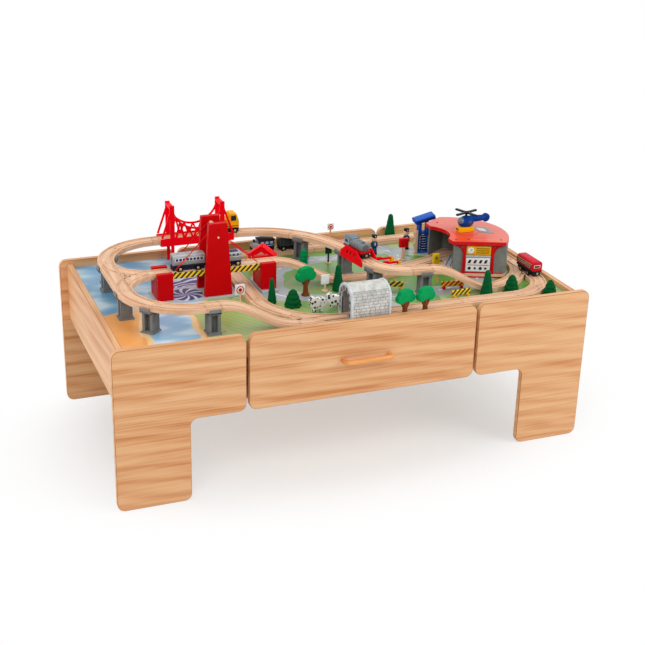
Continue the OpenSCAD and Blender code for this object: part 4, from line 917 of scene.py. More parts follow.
tint = Finish("roof_lacquer")
level_spot = tint.node("ShaderNodeVectorMath", {"operation": "MULTIPLY"},
                       {0: tint.place(shift=ROOF_CORNER), 1: (1, 1, 0)})
corner_far = tint.node("ShaderNodeVectorMath", {"operation": "LENGTH"}, {0: level_spot}, out=1)
on_top = tint.axes(tint.place())[2].over(TOP_FROM, TOP_TO)
dust = tint.noise(tint.place(), 60, 4.0)
orange = (1 - corner_far.over(0.02, 0.13)) * on_top
ROOF = tint.finish(tint.mix(orange, tint.paint(), ROOF_ORANGE), 0.24 + dust * 0.2, dust, 0.0001, 0.1,
                   Coat_Weight=0.05, Specular_IOR_Level=0.2)
rounded_copy("station_roof", ROOF, 0.9, paint=roof_paint)

# %% [markdown]
# The front has two red posts that branch into arched braces, spindles under the roof, a yellow board
# with a round dial, and a white notice with plain marks. They are small blocks and bent rods,
# worked out along the front and then turned with it.

# %% Station front
FRONT_AT, FRONT_TURN, FRONT_FROM, FRONT_TO, EAVE_Z = (357.0, -65.0, 382.0), -22.0, -21.0, 104.0, 75.6
POSTS, DIAL_X, DIAL_Z, SPINDLE_Y = (3.5, 75.0), 19, 61, -0.8
FRONT_LEFT, FRONT_RIGHT = POSTS
OCHRE, BRICK = rgb(150, 112, 26), rgb(110, 44, 38)
front = []


def on_front(paint, *shapes):
    """Adds lacquered shapes of one colour, drawn along the front."""
    front.extend(painted(LACQUER, paint, *shapes))


def arch(x, side, reach, low, high):
    """A quarter of an ellipse from the post up to the roof: one less cosine across, sine up."""
    t = np.radians(np.linspace(0, 90, 9))
    across, up = x + side * reach * (1 - np.cos(t)), low + (high - low) * np.sin(t)
    return np.column_stack([across, np.full(9, SPINDLE_Y), up])


for x, side in zip(POSTS, (-1, 1)):
    on_front(RED, block((x - 3.6, -3.2, 0), (x + 3.6, 1.2, EAVE_Z), 0.8, 0.5),
             block((x - 4.6, -3.8, 0), (x + 4.6, 1.2, 5), 0.8, 0.5),
             tube(arch(x, side, 22, 40, EAVE_Z - 2), 2.3, 10),
             block((x, -2.2, EAVE_Z - 3), (x + side * 24, 1.2, EAVE_Z), 0.6, 0.3))
    for k in (8, 13, 18):
        foot, head = EAVE_Z - 12 + k * 0.4, EAVE_Z - 1
        on_front(RED, tube([(x + side * k, SPINDLE_Y, foot), (x + side * k, SPINDLE_Y, head)], 1.2, 8))
on_front(AMBER, block((FRONT_LEFT + 5, -2.2, 50), (FRONT_RIGHT - 5, 1.2, 72), 0.8, 0.4))
on_front(OCHRE, *(block((33, -2.8, z), (66, -1.8, z + 2.6), 0.5, 0.2) for z in (54, 59.5, 65)))
on_front(WHITE, put(lathe([(8.2, 0), (8.2, 0.8), (7.4, 1.4)], 32), (DIAL_X, -2.0, DIAL_Z), stand=True))
for turn in (0, 55):
    on_front(BLACK, put(block((-0.5, -0.3, 0), (0.5, 0.3, 5.6), 0.3, 0.15), (DIAL_X, -3.5, DIAL_Z), lean=turn))
on_front(PALE_GREY, block((FRONT_LEFT + 4, -1.4, 43), (FRONT_RIGHT - 4, 1.2, 48), 0.6, 0.3))
on_front(WHITE, block((FRONT_LEFT + 5, -1.8, 5), (FRONT_RIGHT - 5, 1.2, 41), 0.8, 0.4))
on_front(RED, block((12, -2.2, 21.5), (67, -1.4, 23), 0.4, 0.2))
for x, size, grey in ((17, 0, DARK), (31, 1, rgb(60, 60, 64)), (45, 0, DARK), (58, 1, rgb(60, 60, 64))):
    spot = lathe([(4.2 - size, 0), (4.2 - size, 0.5), (3.6 - size, 0.8)], 16)
    on_front(DARK, put(plate([(0, 0), (6.5, 0), (10, 9), (3.5, 9)], 0.7, 0.2), (x - 4, -1.6, 27), stand=True))
    on_front(grey, put(spot, (x + 1, -1.6, 13.5), stand=True))
on_front(RED, block((FRONT_FROM, -1.2, -11.8), (FRONT_TO, 0.3, -8.6), 0.6, 0.3),
         block((FRONT_FROM, -0.8, 0), (FRONT_TO, 1.2, 2.4), 0.5, 0.3))
FLOOR_AT, FLOOR_TURN = (385, 20, 381.8), 54
floor_print = painted(MATT, PALE_GREY, block((-48, -26, 0), (48, 26, 0.7), 4, 0.3))
floor_lines = [block((-47, y - 1, 0.4), (47, y + 1, 1.1), 0.6, 0.25) for y in (-16, -4, 8, 20)]
floor_print += painted(LACQUER, BRICK, *floor_lines)
front = placed(front, FRONT_AT, FRONT_TURN) + placed(floor_print, FLOOR_AT, FLOOR_TURN)
piece("station_front", "table", front)

# %% [markdown]
# On the roof lie a grey diamond for landing, pegs that hold the roof down, and a few short yellow dashes.
# They are thin plates; a millimetre of real height reads better than painted lines.

# %% Roof marks
ROOF_Z, PAD_AT, PAD_TURN = 468.0, (440, -2), 24
PEGS = (342, -52), (357, 86), (440, 80), (449, -90), (372, -62)
diamond = np.array([(-24, 0), (0, -42), (24, 0), (0, 42)], float)
peg = lathe([(2.6, 0), (2.6, 0.8), (1.6, 1.5)], 16)
dash_mark = block((-3, -1.2, 0), (3, 1.2, 0.8), 0.8, 0.3)
marks = [(put(plate(diamond, 1.0, 0.4), (*PAD_AT, ROOF_Z - 0.2), PAD_TURN), LACQUER, MID_GREY),
         (put(plate(diamond * 0.42, 1.0, 0.3), (*PAD_AT, ROOF_Z + 0.3), PAD_TURN), LACQUER, WHITE)]
marks += [(put(peg, (x, y, ROOF_Z - 0.1)), LACQUER, RED) for x, y in PEGS]
marks += [(put(dash_mark, (362 + 9 * k, 72 + 5.5 * k, ROOF_Z - 0.2), 32), LACQUER, AMBER) for k in range(4)]
edge_line = block((0, -0.8, 0), (84, 0.8, 0.7), 0.6, 0.25)
marks.append((put(edge_line, (375.6, -61.7, ROOF_Z - 0.2), FRONT_TURN), LACQUER, AMBER))
piece("roof_marks", "table", marks)

# %% [markdown]
# The helicopter is moulded: a round blue cabin with a grey window, a thick tail, and a yellow base with slits.
# Cabin and window are ellipsoids, tail and rotor hub are turned shapes, and blades are thin soft blocks.

# %% Helicopter
HELI_AT, ROTOR_AT, TAIL_AT = (395.0, 1.0, 469), (395.0, 1.0, 515.0), (56, 0, 31)
HELI_BLUE, CANOPY_GREY, DOOR_GLASS = rgb(16, 58, 140), rgb(92, 104, 120), rgb(40, 52, 78)
fly = [(block((-23, -13, 0), (21, 13, 13), 7, 1.6), PLASTIC, AMBER),
       (ball((0, 0, 25), (22, 15.6, 15.6), 32), PLASTIC, HELI_BLUE),
       (ball((-11.5, 0, 27.5), (11.6, 12.4, 10.6), 28), GLOSS, CANOPY_GREY),
       (put(lathe([(9, 8), (8.7, 20), (7.7, 50), (7.2, 54)], 24, 0), (0, 0, 31)), PLASTIC, HELI_BLUE),
       (put(lathe([(9.8, -4.0), (11, -3.2), (11, 3.2), (9.8, 4.0)], 30, 1), TAIL_AT), PLASTIC, HELI_BLUE),
       (put(lathe([(4, -4.4), (4.5, -4.0), (4.5, 4.0), (4, 4.4)], 18, 1), TAIL_AT), PLASTIC, NAVY),
       (lathe([(5, 37), (4.2, 41), (3, 42), (3, 48)], 18), PLASTIC, DARK)]
fly += [(block((-23.4, y - 1.6, 4), (-22.4, y + 1.6, 9.5), 0.6, 0.3), MATT, DARK) for y in (-4.5, 0, 4.5)]
fly += [(block((-1, y - 0.8, 20), (9, y + 0.8, 30), 2, 0.6), GLOSS, DOOR_GLASS) for y in (-14.8, 14.8)]
piece("helicopter_shell", "table", placed(fly, HELI_AT), ("helicopter_body",))
rotor = [(put(lathe([(5.6, 0), (6, 0.5), (6, 5.2), (5, 6)], 24), ROTOR_AT), MATT, BLACK)]
blade_parts = [(block((4.5, -3.8, 0.8), (36.5, 3.8, 5.2), 2, 0.8), MATT, BLACK),
               (block((9, -0.8, 4.8), (33, 0.8, 5.4), 0.6, 0.25), MATT, MID_GREY)]
for turn in (20, 110, 200, 290):
    rotor += placed(blade_parts, ROTOR_AT, turn)
piece("rotor_blades", "rotor", rotor, ("helicopter_rotor",))

# %% [markdown]
# The crossing has yellow posts and red arms, small mouldings that a softened copy serves well.
# The gabled shed is the same red plastic, with a thick roof edge.

# %% Crossing and shed
SHED_AT, SHED_TURN, SHED_PITCH = (-98.0, 165.0, BOARD_TOP), -28.0, math.degrees(math.atan2(26, 34))
rounded_copy("crossing_posts", PLASTIC, 0.5, paint=YELLOW)
for node in ("crossing_arm_back", "crossing_arm_front"):
    rounded_copy(node, PLASTIC, 0.5, paint=BRIGHT_RED)
rounded_copy("red_shed", PLASTIC, 1.4, paint=BRIGHT_RED, segments=3)
shed_trim = [block((-36, y - 1.5, 0), (36, y + 1.5, 4), 1, 0.6) for y in (-12.6, 12.6)]
for side in (-1, 1):
    slope = block((-21, -14.6, -1.2), (23, 14.6, 2.6), 1.4, 0.8)
    shed_trim.append(put(slope, (side * 18, 0, 44), lean=side * SHED_PITCH))
piece("shed_roof", "table", placed(painted(PLASTIC, BRIGHT_RED, *shed_trim), SHED_AT, SHED_TURN))

# %% [markdown]
# The loading tower is blue plastic: two legs on a foot, a shelf, and a tilted hood, with a printed panel
# of plain line work and a strip of bare wood with a wavy edge beside it.
# The wave is a sine added to a straight edge; the rest are soft blocks.

# %% Loading tower
LOADER_AT, LOADER_TURN = (347.0, 147.0, BOARD_TOP), -8.0
HOOD_AT, HOOD_LEAN, HOOD_TOP_BLUE = (-24, -18, 80), -16.0, rgb(30, 92, 190)
hood = ((block((0, 0, 0), (56, 36, 10), 1.2, 0.7), BLUE), (block((3, -0.6, 2), (53, 0.4, 8), 1, 0.4), NAVY),
        (block((3, 3, 9.4), (53, 33, 10.4), 1, 0.4), HOOD_TOP_BLUE))
tower = [(put(s, HOOD_AT, lean=HOOD_LEAN), PLASTIC, c) for s, c in hood]
tower += painted(PLASTIC, BLUE, block((-17, -14, 0), (19, 14, 4), 2, 0.8),
                 block((-14, -11, 50.4), (16, 11, 55.4), 1, 0.6))
for x in (-14, 8):
    tower += painted(PLASTIC, BLUE, block((x, -11, 3), (x + 8, 11, 84), 1.2, 0.6))
    tower += painted(LACQUER, NAVY, block((x + 1.5, -11.8, 8), (x + 6.5, -10.6, 48), 0.6, 0.3))
    tower += painted(LACQUER, WHITE, *(block((x + 2.4, -12.1, z), (x + 5.6, -11.4, z + 0.9), 0.3, 0.15)
                                       for z in np.linspace(11, 45, 9)))
tower += painted(LACQUER, NAVY, block((-6, -9.4, 6), (8, -8.4, 49), 0.6, 0.3))
panel_line = block((-5.5, -10, 0), (5.5, -9.2, 1), 0.4, 0.2)
tower += painted(LACQUER, WHITE, *(put(panel_line, (1, 0, z)) for z in np.linspace(10, 44, 6)))
STRIP_H, STRIP_WAVE = 62, 2.2
wave = np.linspace(0, 1, 25)
strip_edge = np.column_stack([-26 + STRIP_WAVE * np.sin(wave * 4 * np.pi), STRIP_H * wave])
strip = plate(np.vstack([[(-16, 0), (-16, STRIP_H)], strip_edge[::-1]]), 7, 1.0)
tower += [(put(strip, (0, -7, 0.2), stand=True), BEECH, CREAM)]
piece("loading_tower", "table", placed(tower, LOADER_AT, LOADER_TURN), ("loader",), grain=UPRIGHT)

# %% [markdown]
# The tunnel looks like stone: courses of small blocks with sunk joints under a smooth roof, between pale rims.
# Its skin is a grid: one parameter runs along the tunnel, the other up one wall, over the arch and down
# the other. Each point is pushed out unless it lies near a joint of its course.

# %% Tunnel skin
TUNNEL_AT, TUNNEL_LEN, WALL_H, ROOF_FROM = np.array([-34.0, -237.0, BOARD_TOP]), 100.0, 60.0, 78.0
BORE_HALF, BORE_WALL = 24.0, 49.0
STONE_JOINT, STONE_FACE, BORE_GREY, RIM_GREY = (
    rgb(148, 147, 144), rgb(214, 213, 208), rgb(170, 171, 170), rgb(208, 213, 217))
MOUTH_TONES = rgb(92, 96, 98), rgb(158, 160, 160)


def arch_outline(half, wall, rise, step):
    """Up one wall, over half an ellipse and down the other, as points about one step apart, right to left."""
    up = np.linspace(0, wall, max(int(wall / step), 2))[:-1]
    t = np.linspace(0, np.pi, max(int(np.pi * (half + rise) / 2 / step), 8))
    right = np.column_stack([np.full(len(up), half), up])
    over = np.column_stack([half * np.cos(t), wall + rise * np.sin(t)])
    return np.vstack([right, over, (right * [-1, 1])[::-1]])


def dressed_stone(u, s, course=7.3, length=12.4, joint=0.75):
    """Height of a stone wall: 0 in the joints, and a little different from block to block above them."""
    row = np.floor(s / course)
    offset = 7.3 * np.sin(row * 12.9898) ** 2 * length
    shifted = (u + offset) / length + 0.18 * np.sin(row * 3.7 + np.floor(u / 23))
    column = np.floor(shifted)
    to_joint = np.minimum(np.minimum(s - row * course, (row + 1) * course - s),
                          np.minimum(shifted - column, column + 1 - shifted) * length)
    proud = 0.75 + 0.35 * np.sin(row * 57.3 + column * 31.7)
    return proud * np.clip(to_joint / joint, 0, 1) ** 2


bore = arch_outline(BORE_HALF, BORE_WALL, BORE_HALF, 4.0)[::-1]
outer = arch_outline(36.4, WALL_H, 28.6, 0.85)
walk = np.concatenate([[0], np.cumsum(np.linalg.norm(np.diff(outer, axis=0), axis=1))])
step_out = np.gradient(outer, axis=0)
out_way = np.column_stack([step_out[:, 1], -step_out[:, 0]]) / np.linalg.norm(step_out, axis=1)[:, None]
along = np.linspace(2, TUNNEL_LEN - 2, 114)
above = outer[:, 1] - ROOF_FROM
relief = np.where(above > 0, np.clip(above - 0.4, 0, 0.7), dressed_stone(along[:, None], walk[None, :]))
stone_yz = outer + relief[..., None] * out_way
ring_yz = np.concatenate([stone_yz, np.broadcast_to(bore, (len(along), *bore.shape))], 1)
rings = np.concatenate([np.broadcast_to(along[:, None, None], ring_yz.shape[:2] + (1,)), ring_yz], 2)
shade = np.zeros(ring_yz.shape[:2])
shade[:, :len(outer)] = np.clip(relief / 0.6, 0, 1)
tones = np.array(STONE_JOINT) + shade[:-1, :, None] * (np.array(STONE_FACE) - np.array(STONE_JOINT))
tones = np.vstack([tones.reshape(-1, 4), np.tile(BORE_GREY, (2, 1))])
print("tunnel skin:", rings.shape[:2], "points")

# %% [markdown]
# At both ends stand a smooth rim and, round the bore, a ring of wedges over two piles of small stones.
# All are thin plates sawn to an outline and set across the tunnel; two greys take turns.

# %% Tunnel rims and mouths
MOUTH_IN, MOUTH_OUT, WEDGE_STEP, WEDGE, COURSE, BRICK_H = 25.2, 33, 16.0, 14.0, 7.4, 6.4


def at_mouth(outline, x, thick, edge, steps=2):
    """A plate that stands across the tunnel at one end."""
    return put(plate(outline, thick, edge, steps), TUNNEL_AT + [x, 0, 0], face_x=True)


rim_bore = arch_outline(BORE_HALF, BORE_WALL, BORE_HALF, 3.0)[::-1]
rim_outline = np.vstack([arch_outline(39, WALL_H, 31, 3.0), rim_bore])
stone = [(put(skin(rings), TUNNEL_AT), STONE, tones)]
stone += [(at_mouth(rim_outline, x, 6, 1.4, 3), MATT, RIM_GREY) for x in (0, TUNNEL_LEN - 6)]
for x in (-0.7, TUNNEL_LEN - 0.5):
    for k, a in enumerate(np.arange(2, 178, WEDGE_STEP)):
        t = np.radians(np.linspace(a, a + WEDGE, 4))
        wedge = np.vstack([np.column_stack([34.0 * np.cos(t), BORE_WALL + 36.0 * np.sin(t)]),
                           np.column_stack([MOUTH_IN * np.cos(t), BORE_WALL + MOUTH_IN * np.sin(t)])[::-1]])
        stone.append((at_mouth(wedge, x, 1.2, 0.5), STONE, MOUTH_TONES[k % 2]))
    for k, z in enumerate(np.arange(13, 46, COURSE)):
        brick = np.array([(MOUTH_IN, z), (MOUTH_OUT, z), (MOUTH_OUT, z + BRICK_H), (MOUTH_IN, z + BRICK_H)])
        stone += [(at_mouth(brick * [side, 1], x, 1.2, 0.5), STONE, MOUTH_TONES[(k + 1) % 2]) for side in (1, -1)]
piece("tunnel_stone", "table", stone, ("tunnel",), smooth=50)

# %% [markdown]
# The trees are painted wood. Firs are turned: a profile goes round, and a cosine of the angle gives shallow lobes.
# Shrubs are domes in tiers with lobes round them. The leafy trees are sawn from thick board: a cloudy outline
# with soft edges on a brown trunk that forks and flares.

# %% Tree shapes


def lobed(reach, height):
    """Rings at even heights from 0 to the full height; reach is the radius for each row and angle."""
    rows, n = reach.shape
    t, rise = angles(n), height * np.linspace(0, 1, rows)[:, None]
    return skin(np.stack([reach * np.cos(t), reach * np.sin(t), np.broadcast_to(rise, (rows, n))], -1))


def fir(height, radius, rows=26, n=30):
    """Set widths by height, joined up, times one plus a lobe of the angle less a scallop of the height."""
    v, t = np.linspace(0, 1, rows)[:, None], angles(n)
    width = np.interp(v, [0, 0.06, 0.9, 0.97, 1], [0.9, 1, 0.44, 0.36, 0.16])
    lobes = 1 + 0.04 * np.cos(5 * t + 4 * v) - 0.05 * np.abs(np.sin(4.5 * np.pi * v)) ** 4
    return lobed(1.1 * radius * width * lobes, height)


def shrub(height, radius, tiers=4, full=1.3, rows=34, n=42):
    """A dome by height, swollen between the tiers by a sine, with lobes round it that shift from tier to tier."""
    v, t = np.linspace(0, 1, rows)[:, None], angles(n)
    up = 0.08 + 0.92 * v
    dome = np.sqrt(1 - 0.99 * v ** full) * (0.88 + 0.14 * np.abs(np.sin(tiers * np.pi * up)) ** 0.7)
    shift = np.floor(tiers * up * 0.999) * 0.7
    return lobed(1.1 * radius * dome * (0.9 + 0.16 * np.abs(np.cos(3.5 * t + shift))), height)


def cloud(circles, n=90):
    """An outline round overlapping circles: at each angle from the middle, the farthest edge among them."""
    way, edge = np.column_stack([np.cos(angles(n)), np.sin(angles(n))]), np.zeros(n)
    for x, y, r in circles:
        ahead, off = way @ [x, y], way[:, 0] * y - way[:, 1] * x
        edge = np.maximum(edge, np.where(off ** 2 < r * r, ahead + np.sqrt(np.maximum(r * r - off ** 2, 0)), 0))
    return edge[:, None] * way


print("tree shapes: fir, shrub, cloud")

# %% [markdown]
# Each tree has its place, height and radius in a table. A leafy crown is the cloudy outline, sawn thick,
# stood up on its trunk and turned a little; forks and roots are short tapered rods.

# %% Trees
FIRS = (356, -199, 66, 14.4), (317, 287, 64, 13.6), (24, -53, 66, 13), (-158, -84, 64, 10)
SHRUBS = (426, -198, 46, 17), (507, -244, 40, 15), (-116, -115, 42, 18)
LEAFY = (104, -268, 75, 20.6), (156, -268, 75, 20.6), (-63, -59, 76, 22)
FIR_GREEN, SHRUB_GREEN, BUSH_GREEN, LEAF_GREEN = rgb(4, 90, 48), rgb(3, 86, 40), rgb(6, 146, 88), rgb(8, 152, 84)
BARK, CROWN_THICK, CROWN_TURN = rgb(122, 66, 34), 15, 14
FORK, ROOTS = ((0, 0.42), (0.3, 0.62), (0.52, 0.86)), (0.2, 1.5, 2.9, 4.0, 5.3)
CROWN = [1.0, 0.92] * cloud(((0, 0.15, 0.8), (0.64, -0.22, 0.6), (-0.64, -0.22, 0.6),
                             (0.44, 0.36, 0.5), (-0.44, 0.36, 0.5)))
greens = [(put(fir(h, r), (x, y, BOARD_TOP), x), TREE_PAINT, FIR_GREEN) for x, y, h, r in FIRS]
greens += [(put(shrub(h, r), (x, y, BOARD_TOP), x), TREE_PAINT, SHRUB_GREEN) for x, y, h, r in SHRUBS]
greens.append((put(shrub(40, 9, 4, 5.0), (12, 153, BOARD_TOP)), TREE_PAINT, BUSH_GREEN))
for x, y, height, size in LEAFY:
    middle = height - 0.98 * size
    stem = tube([(0, 0, z) for z in (0, 3, 9, 18, middle)], (10.5, 8.2, 6.6, 6.0, 5.0), 16)
    forks = [tube([(side * out * size, 0, middle * up) for out, up in FORK], (4.0, 3.4, 2.6), 10)
             for side in (-1, 1)]
    roots = [tube([(0, 0, 5), (10 * np.cos(k), 10 * np.sin(k), 2.0)], (5.0, 2.0), 8) for k in ROOTS]
    greens += placed(painted(TREE_PAINT, BARK, stem, *forks, *roots), (x, y, BOARD_TOP))
    leaves = put(plate(size * CROWN, CROWN_THICK, 2.4, 3), (0, CROWN_THICK / 2, 0), stand=True)
    greens.append((put(leaves, (x, y, BOARD_TOP + middle), CROWN_TURN), TREE_PAINT, LEAF_GREEN))
piece("painted_trees", "table", greens, ("trees",), smooth=55)

# %% [markdown]
# Two turned people stand by the crossing: a coat, arms, a round head with two dots for eyes, and a peaked cap.
# Turning gives the round parts; arms are bent rods, and the peak is a small plate.

# %% People
SKIN, COATS = rgb(236, 196, 164), (rgb(40, 74, 112), rgb(34, 44, 78))
PEOPLE = (216, 167, 52), (315, 179, 56)


def person(h, coat):
    """Turned profiles for foot, coat and cap and a ball for the head, their heights as parts of the whole."""
    body = [(7.4, 3), (7.9, h * 0.1), (7.2, h * 0.34), (6.7, h * 0.42), (7.2, h * 0.46), (7.0, h * 0.58),
            (5.6, h * 0.67), (3.2, h * 0.7)]
    cap = [(6.4, h * 0.9), (6.9, h * 0.92), (7.6, h * 0.96), (7.6, h * 0.99), (6.4, h * 1.02), (2.5, h * 1.035)]
    peak = plate(filleted([(-5, 0), (-4, -3.2), (4, -3.2), (5, 0)], 1.4), 1.2, 0.4)
    badge = lathe([(1.4, 0), (1.4, 0.6), (0.9, 0.9)], 14)
    shapes = [(lathe([(8.6, 0), (9, 0.6), (9, 2.4), (8.4, 3)]), LACQUER, BLACK),
              (lathe(body), LACQUER, coat),
              (lathe([(7.3, h * 0.36), (7.5, h * 0.38), (7.3, h * 0.41)]), LACQUER, BLACK),
              (ball((0, 0, h * 0.8), (7.4, 7.4, 8.0)), LACQUER, SKIN),
              (lathe(cap), LACQUER, BLACK),
              (put(peak, (0, -5.4, h * 0.9)), LACQUER, BLACK),
              (put(badge, (0, -7.1, h * 0.96), stand=True), LACQUER, WHITE),
              (block((-1.2, -7.4, h * 0.47), (1.2, -6.2, h * 0.63), 0.6, 0.3), LACQUER, WHITE)]
    for side in (-1, 1):
        arm = [(side * 5.6, 0, h * 0.64), (side * 7.9, 0, h * 0.56), (side * 8.2, -1.5, h * 0.38)]
        shapes += [(tube(arm, (2.0, 2.3, 1.9), 10), LACQUER, coat),
                   (ball((side * 8.2, -1.8, h * 0.36), (1.8, 1.8, 2.0), 12), LACQUER, SKIN),
                   (ball((side * 2.5, -6.4, h * 0.80), (0.8, 0.6, 0.9), 10), GLOSS, BLACK)]
    return shapes


folk = []
for (x, y, h), coat in zip(PEOPLE, COATS):
    folk += placed(person(h, coat), (x, y, BOARD_TOP))

print("people:", len(folk), "parts")

# %% [markdown]
# A cow is a sawn side with soft edges on two legs, with horns and eyes. Its side is an outline round four circles,
# as the crown of a tree is. Its spots are colour only: black where a Voronoi cell's middle is near.

# %% Cows
COWS = (-72, -165, 1.08, 8), (-24, -153, 1.0, -12)
COW_SIDE = cloud(((0, -1, 13.5), (9, 0, 11.5), (-8, 0, 11.5), (-13, 8, 8.5)), 80) + [0, 20]
COW_LEGS = (-13, -7), (6, 12)
COW_DARK, COW_PALE = rgb(30, 28, 28), rgb(240, 238, 234)
hide = Finish("cow_hide")
cell = hide.node("ShaderNodeTexVoronoi", {}, {"Vector": hide.place(shift=(0.013, 0.004, 0.02)), "Scale": 115.0})
hide_fine = hide.noise(hide.place(), 800, 2.0)
COW = hide.finish(hide.mix(cell.over(0.36, 0.4), COW_DARK, COW_PALE), 0.36 + hide_fine * 0.1,
                  hide_fine, 0.0001, 0.1, Coat_Weight=0.2, Coat_Roughness=0.25)
for x, y, size, turn in COWS:
    cow = [(put(plate(COW_SIDE * size, 14, 3.4, 4), (0, 7, 0), stand=True), COW, WHITE)]
    cow += [(block((a * size, -6, 0), (b * size, 6, 14), 1.6, 0.8), COW, WHITE) for a, b in COW_LEGS]
    cow += [(tube([(-13 * size, s, 34 * size), (-14 * size, 2.2 * s, 39 * size)], (1.4, 0.5), 8), LACQUER, CREAM)
            for s in (-2.5, 2.5)]
    cow += [(ball((-17 * size, s * 6.6, 29 * size), (0.9, 0.6, 0.9), 8), GLOSS, BLACK) for s in (-1, 1)]
    folk += placed(cow, (x, y, BOARD_TOP), turn)
piece("people_and_cows", "table", folk, ("play_figures",))

# %% [markdown]
# Signs stand on turned feet. Their plates are sawn square with soft corners, and carry plain rings, a spot, a
# square or nothing. The table has each sign's place, its post, the plate's width, height and thickness, its
# paint and its kind.

# %% Signs
SIGNS = ((-233, -71, 26, 24, 26, 4, WHITE, "rings"), (-8, -47, 18, 22, 24, 4, WHITE, "bare"),
         (140, 289, 36, 18, 18, 4, WHITE, "rings"), (74, 137, 26, 18, 18, 4, rgb(24, 62, 66), "dark post"),
         (315, -1, 16, 18, 30, 7, YELLOW, "spot"), (270, 99, 36, 26, 24, 9, RED, "square"))
RINGS = (0.40, 0.5, RED), (0.30, 0.8, WHITE), (0.20, 1.0, RED)
boards = []
for x, y, post, w, h, thick, paint, kind in SIGNS:
    post_look = (MATT, DARK) if kind == "dark post" else (BEECH, CREAM)
    shapes = [(lathe([(7.6, 0), (8, 0.5), (8, 2.2), (7, 3)]), BEECH, CREAM),
              (lathe([(2.4, 2), (2.4, post + 3)], 16), *post_look),
              (block((-w / 2, -thick / 2, post), (w / 2, thick / 2, post + h), 1.6, 0.8), LACQUER, paint)]
    if kind == "rings":
        discs = [(lathe([(w * r, 0), (w * r, d), (w * r - 0.3, d + 0.2)], 28), c) for r, d, c in RINGS]
        shapes += [(put(disc, (0, -2, post + h / 2), stand=True), LACQUER, c) for disc, c in discs]
    if kind == "spot":
        spot = lathe([(2.6, 0), (2.6, 0.8), (1.8, 1.2)], 16)
        shapes += [(block((-6, -4.0, post + 4), (6, -3.2, post + h - 5), 1, 0.3), LACQUER, rgb(226, 176, 16)),
                   (put(spot, (0, -3.8, post + h - 11), stand=True), GLOSS, DARK)]
    if kind == "square":
        shapes += [(block((-9, -5.0, post + 4), (9, -4.2, post + h - 4), 1, 0.3), LACQUER, DEEP_RED),
                   (block((-3.4, -3.4, 2), (3.4, 3.4, post + 1), 1, 0.6), BEECH, CREAM)]
    boards += placed(shapes, (x, y, BOARD_TOP))

print("signs:", len(SIGNS))

# %% [markdown]
# The barricades carry slanted stripes, made like those of the bridge: a finish of two paints in bands.
# Each is a soft rail on two feet.

# %% Barricades
BARRICADE_PITCH = 0.013


def barrier_finish(name, first, second):
    """Slanted bands of two paints under a thin lacquer."""
    f = Finish(name)
    fine = f.noise(f.place(), 600, 2.0)
    return f.finish(slanted(f, BARRICADE_PITCH, first, second), 0.32 + fine * 0.1, fine, 0.0001, 0.1,
                    Coat_Weight=0.2, Coat_Roughness=0.25)


HAZARD = barrier_finish("hazard_stripes", YELLOW, BLACK)
WORKS = barrier_finish("works_stripes", YELLOW, RED)
BARRICADES = ((160, -87, -20, 44, HAZARD, AMBER), (293, -187, 5, 52, HAZARD, AMBER),
              (299, -129, -8, 60, WORKS, RED))
for x, y, turn, long, stripes, foot in BARRICADES:
    rail = [(block((-long / 2, -2, 6), (long / 2, 2, 20), 1.4, 0.7), stripes, WHITE)]
    rail += [(block((a, -6, 0), (a + 6, 6, 7), 1, 0.7), LACQUER, foot) for a in (4 - long / 2, long / 2 - 10)]
    boards += placed(rail, (x, y, BOARD_TOP), turn)
piece("signs_and_barricades", "table", boards, ("signs",), grain=UPRIGHT)

# %% [markdown]
# Every vehicle rolls on two wheel pairs: a steel axle and two moulded wheels with a sunk face and a pale hub.
# A wheel is a turned profile. Each pair rides on its own body, so that it turns when the train rolls.
# The table below has, for each vehicle, its place, turn and rail height, its length and wheel base, and its slot.

# %% Wheel pairs
RAISED, GROUND, AXLE_Z = 438.0, 382.0, 4.8
HUB_PALE = rgb(222, 204, 160)
TRAINS = {"silver_coach": (-331.5, 28, 0, RAISED, 86, 44, "stock_silver"),
          "silver_tender": (-221.5, 28, 180, RAISED, 46, 22, "stock_silver"),
          "blue_loco": (-71, 245, 180, GROUND, 66, 36, "stock_blue"),
          "dark_wagon": (1, 245, 180, GROUND, 60, 32, "stock_dark"),
          "grey_loco": (96.113, 3.0, -82, RAISED, 92, 48, "stock_grey"),
          "red_coach": (525, -110, 90, GROUND, 84, 34, "stock_red"),
          "yellow_truck": (-161, 266, 0, RAISED, 66, 36, "stock_yellow")}


def wheel_pair():
    """Profiles along the axle: tread, sunk face and hub on each side, and the axle through both."""
    shapes = [(lathe([(1.5, -15.8), (1.5, 15.8)], 14, 1), STEEL, STEEL_GREY)]
    for s in (-1, 1):
        tread = [(1.6, s * 11.2), (6.8, s * 11.2), (7.5, s * 11.8), (7.5, s * 14.1), (7.0, s * 14.8),
                 (5.9, s * 14.8), (5.4, s * 14.1), (1.6, s * 14.0)]
        hub = [(3.4, s * 13.9), (3.4, s * 14.9), (2.6, s * 15.3), (1.4, s * 15.5)]
        shapes += [(lathe(tread, 32, 1), PLASTIC, BLACK), (lathe(hub, 18, 1), STEEL, HUB_PALE)]
    return shapes


for name, (x, y, turn, rail, _, base, _) in TRAINS.items():
    c, s = math.cos(math.radians(turn)), math.sin(math.radians(turn))
    for end, side in (("front", 1), ("rear", -1)):
        node = f"{name}_{end}_axle"
        at = (x + side * base / 2 * c, y + side * base / 2 * s, rail + AXLE_Z)
        piece(node + "_wheels", node, placed(wheel_pair(), at, turn), (node,))

# %% [markdown]
# The bodies are painted wood on a moulded underframe, with a round magnet at each end.
# Each is drawn about its own middle, nose towards +X, and then set on its stretch of track.
# Windows are shallow gloss panels: real edges catch light, which a painted square would not.

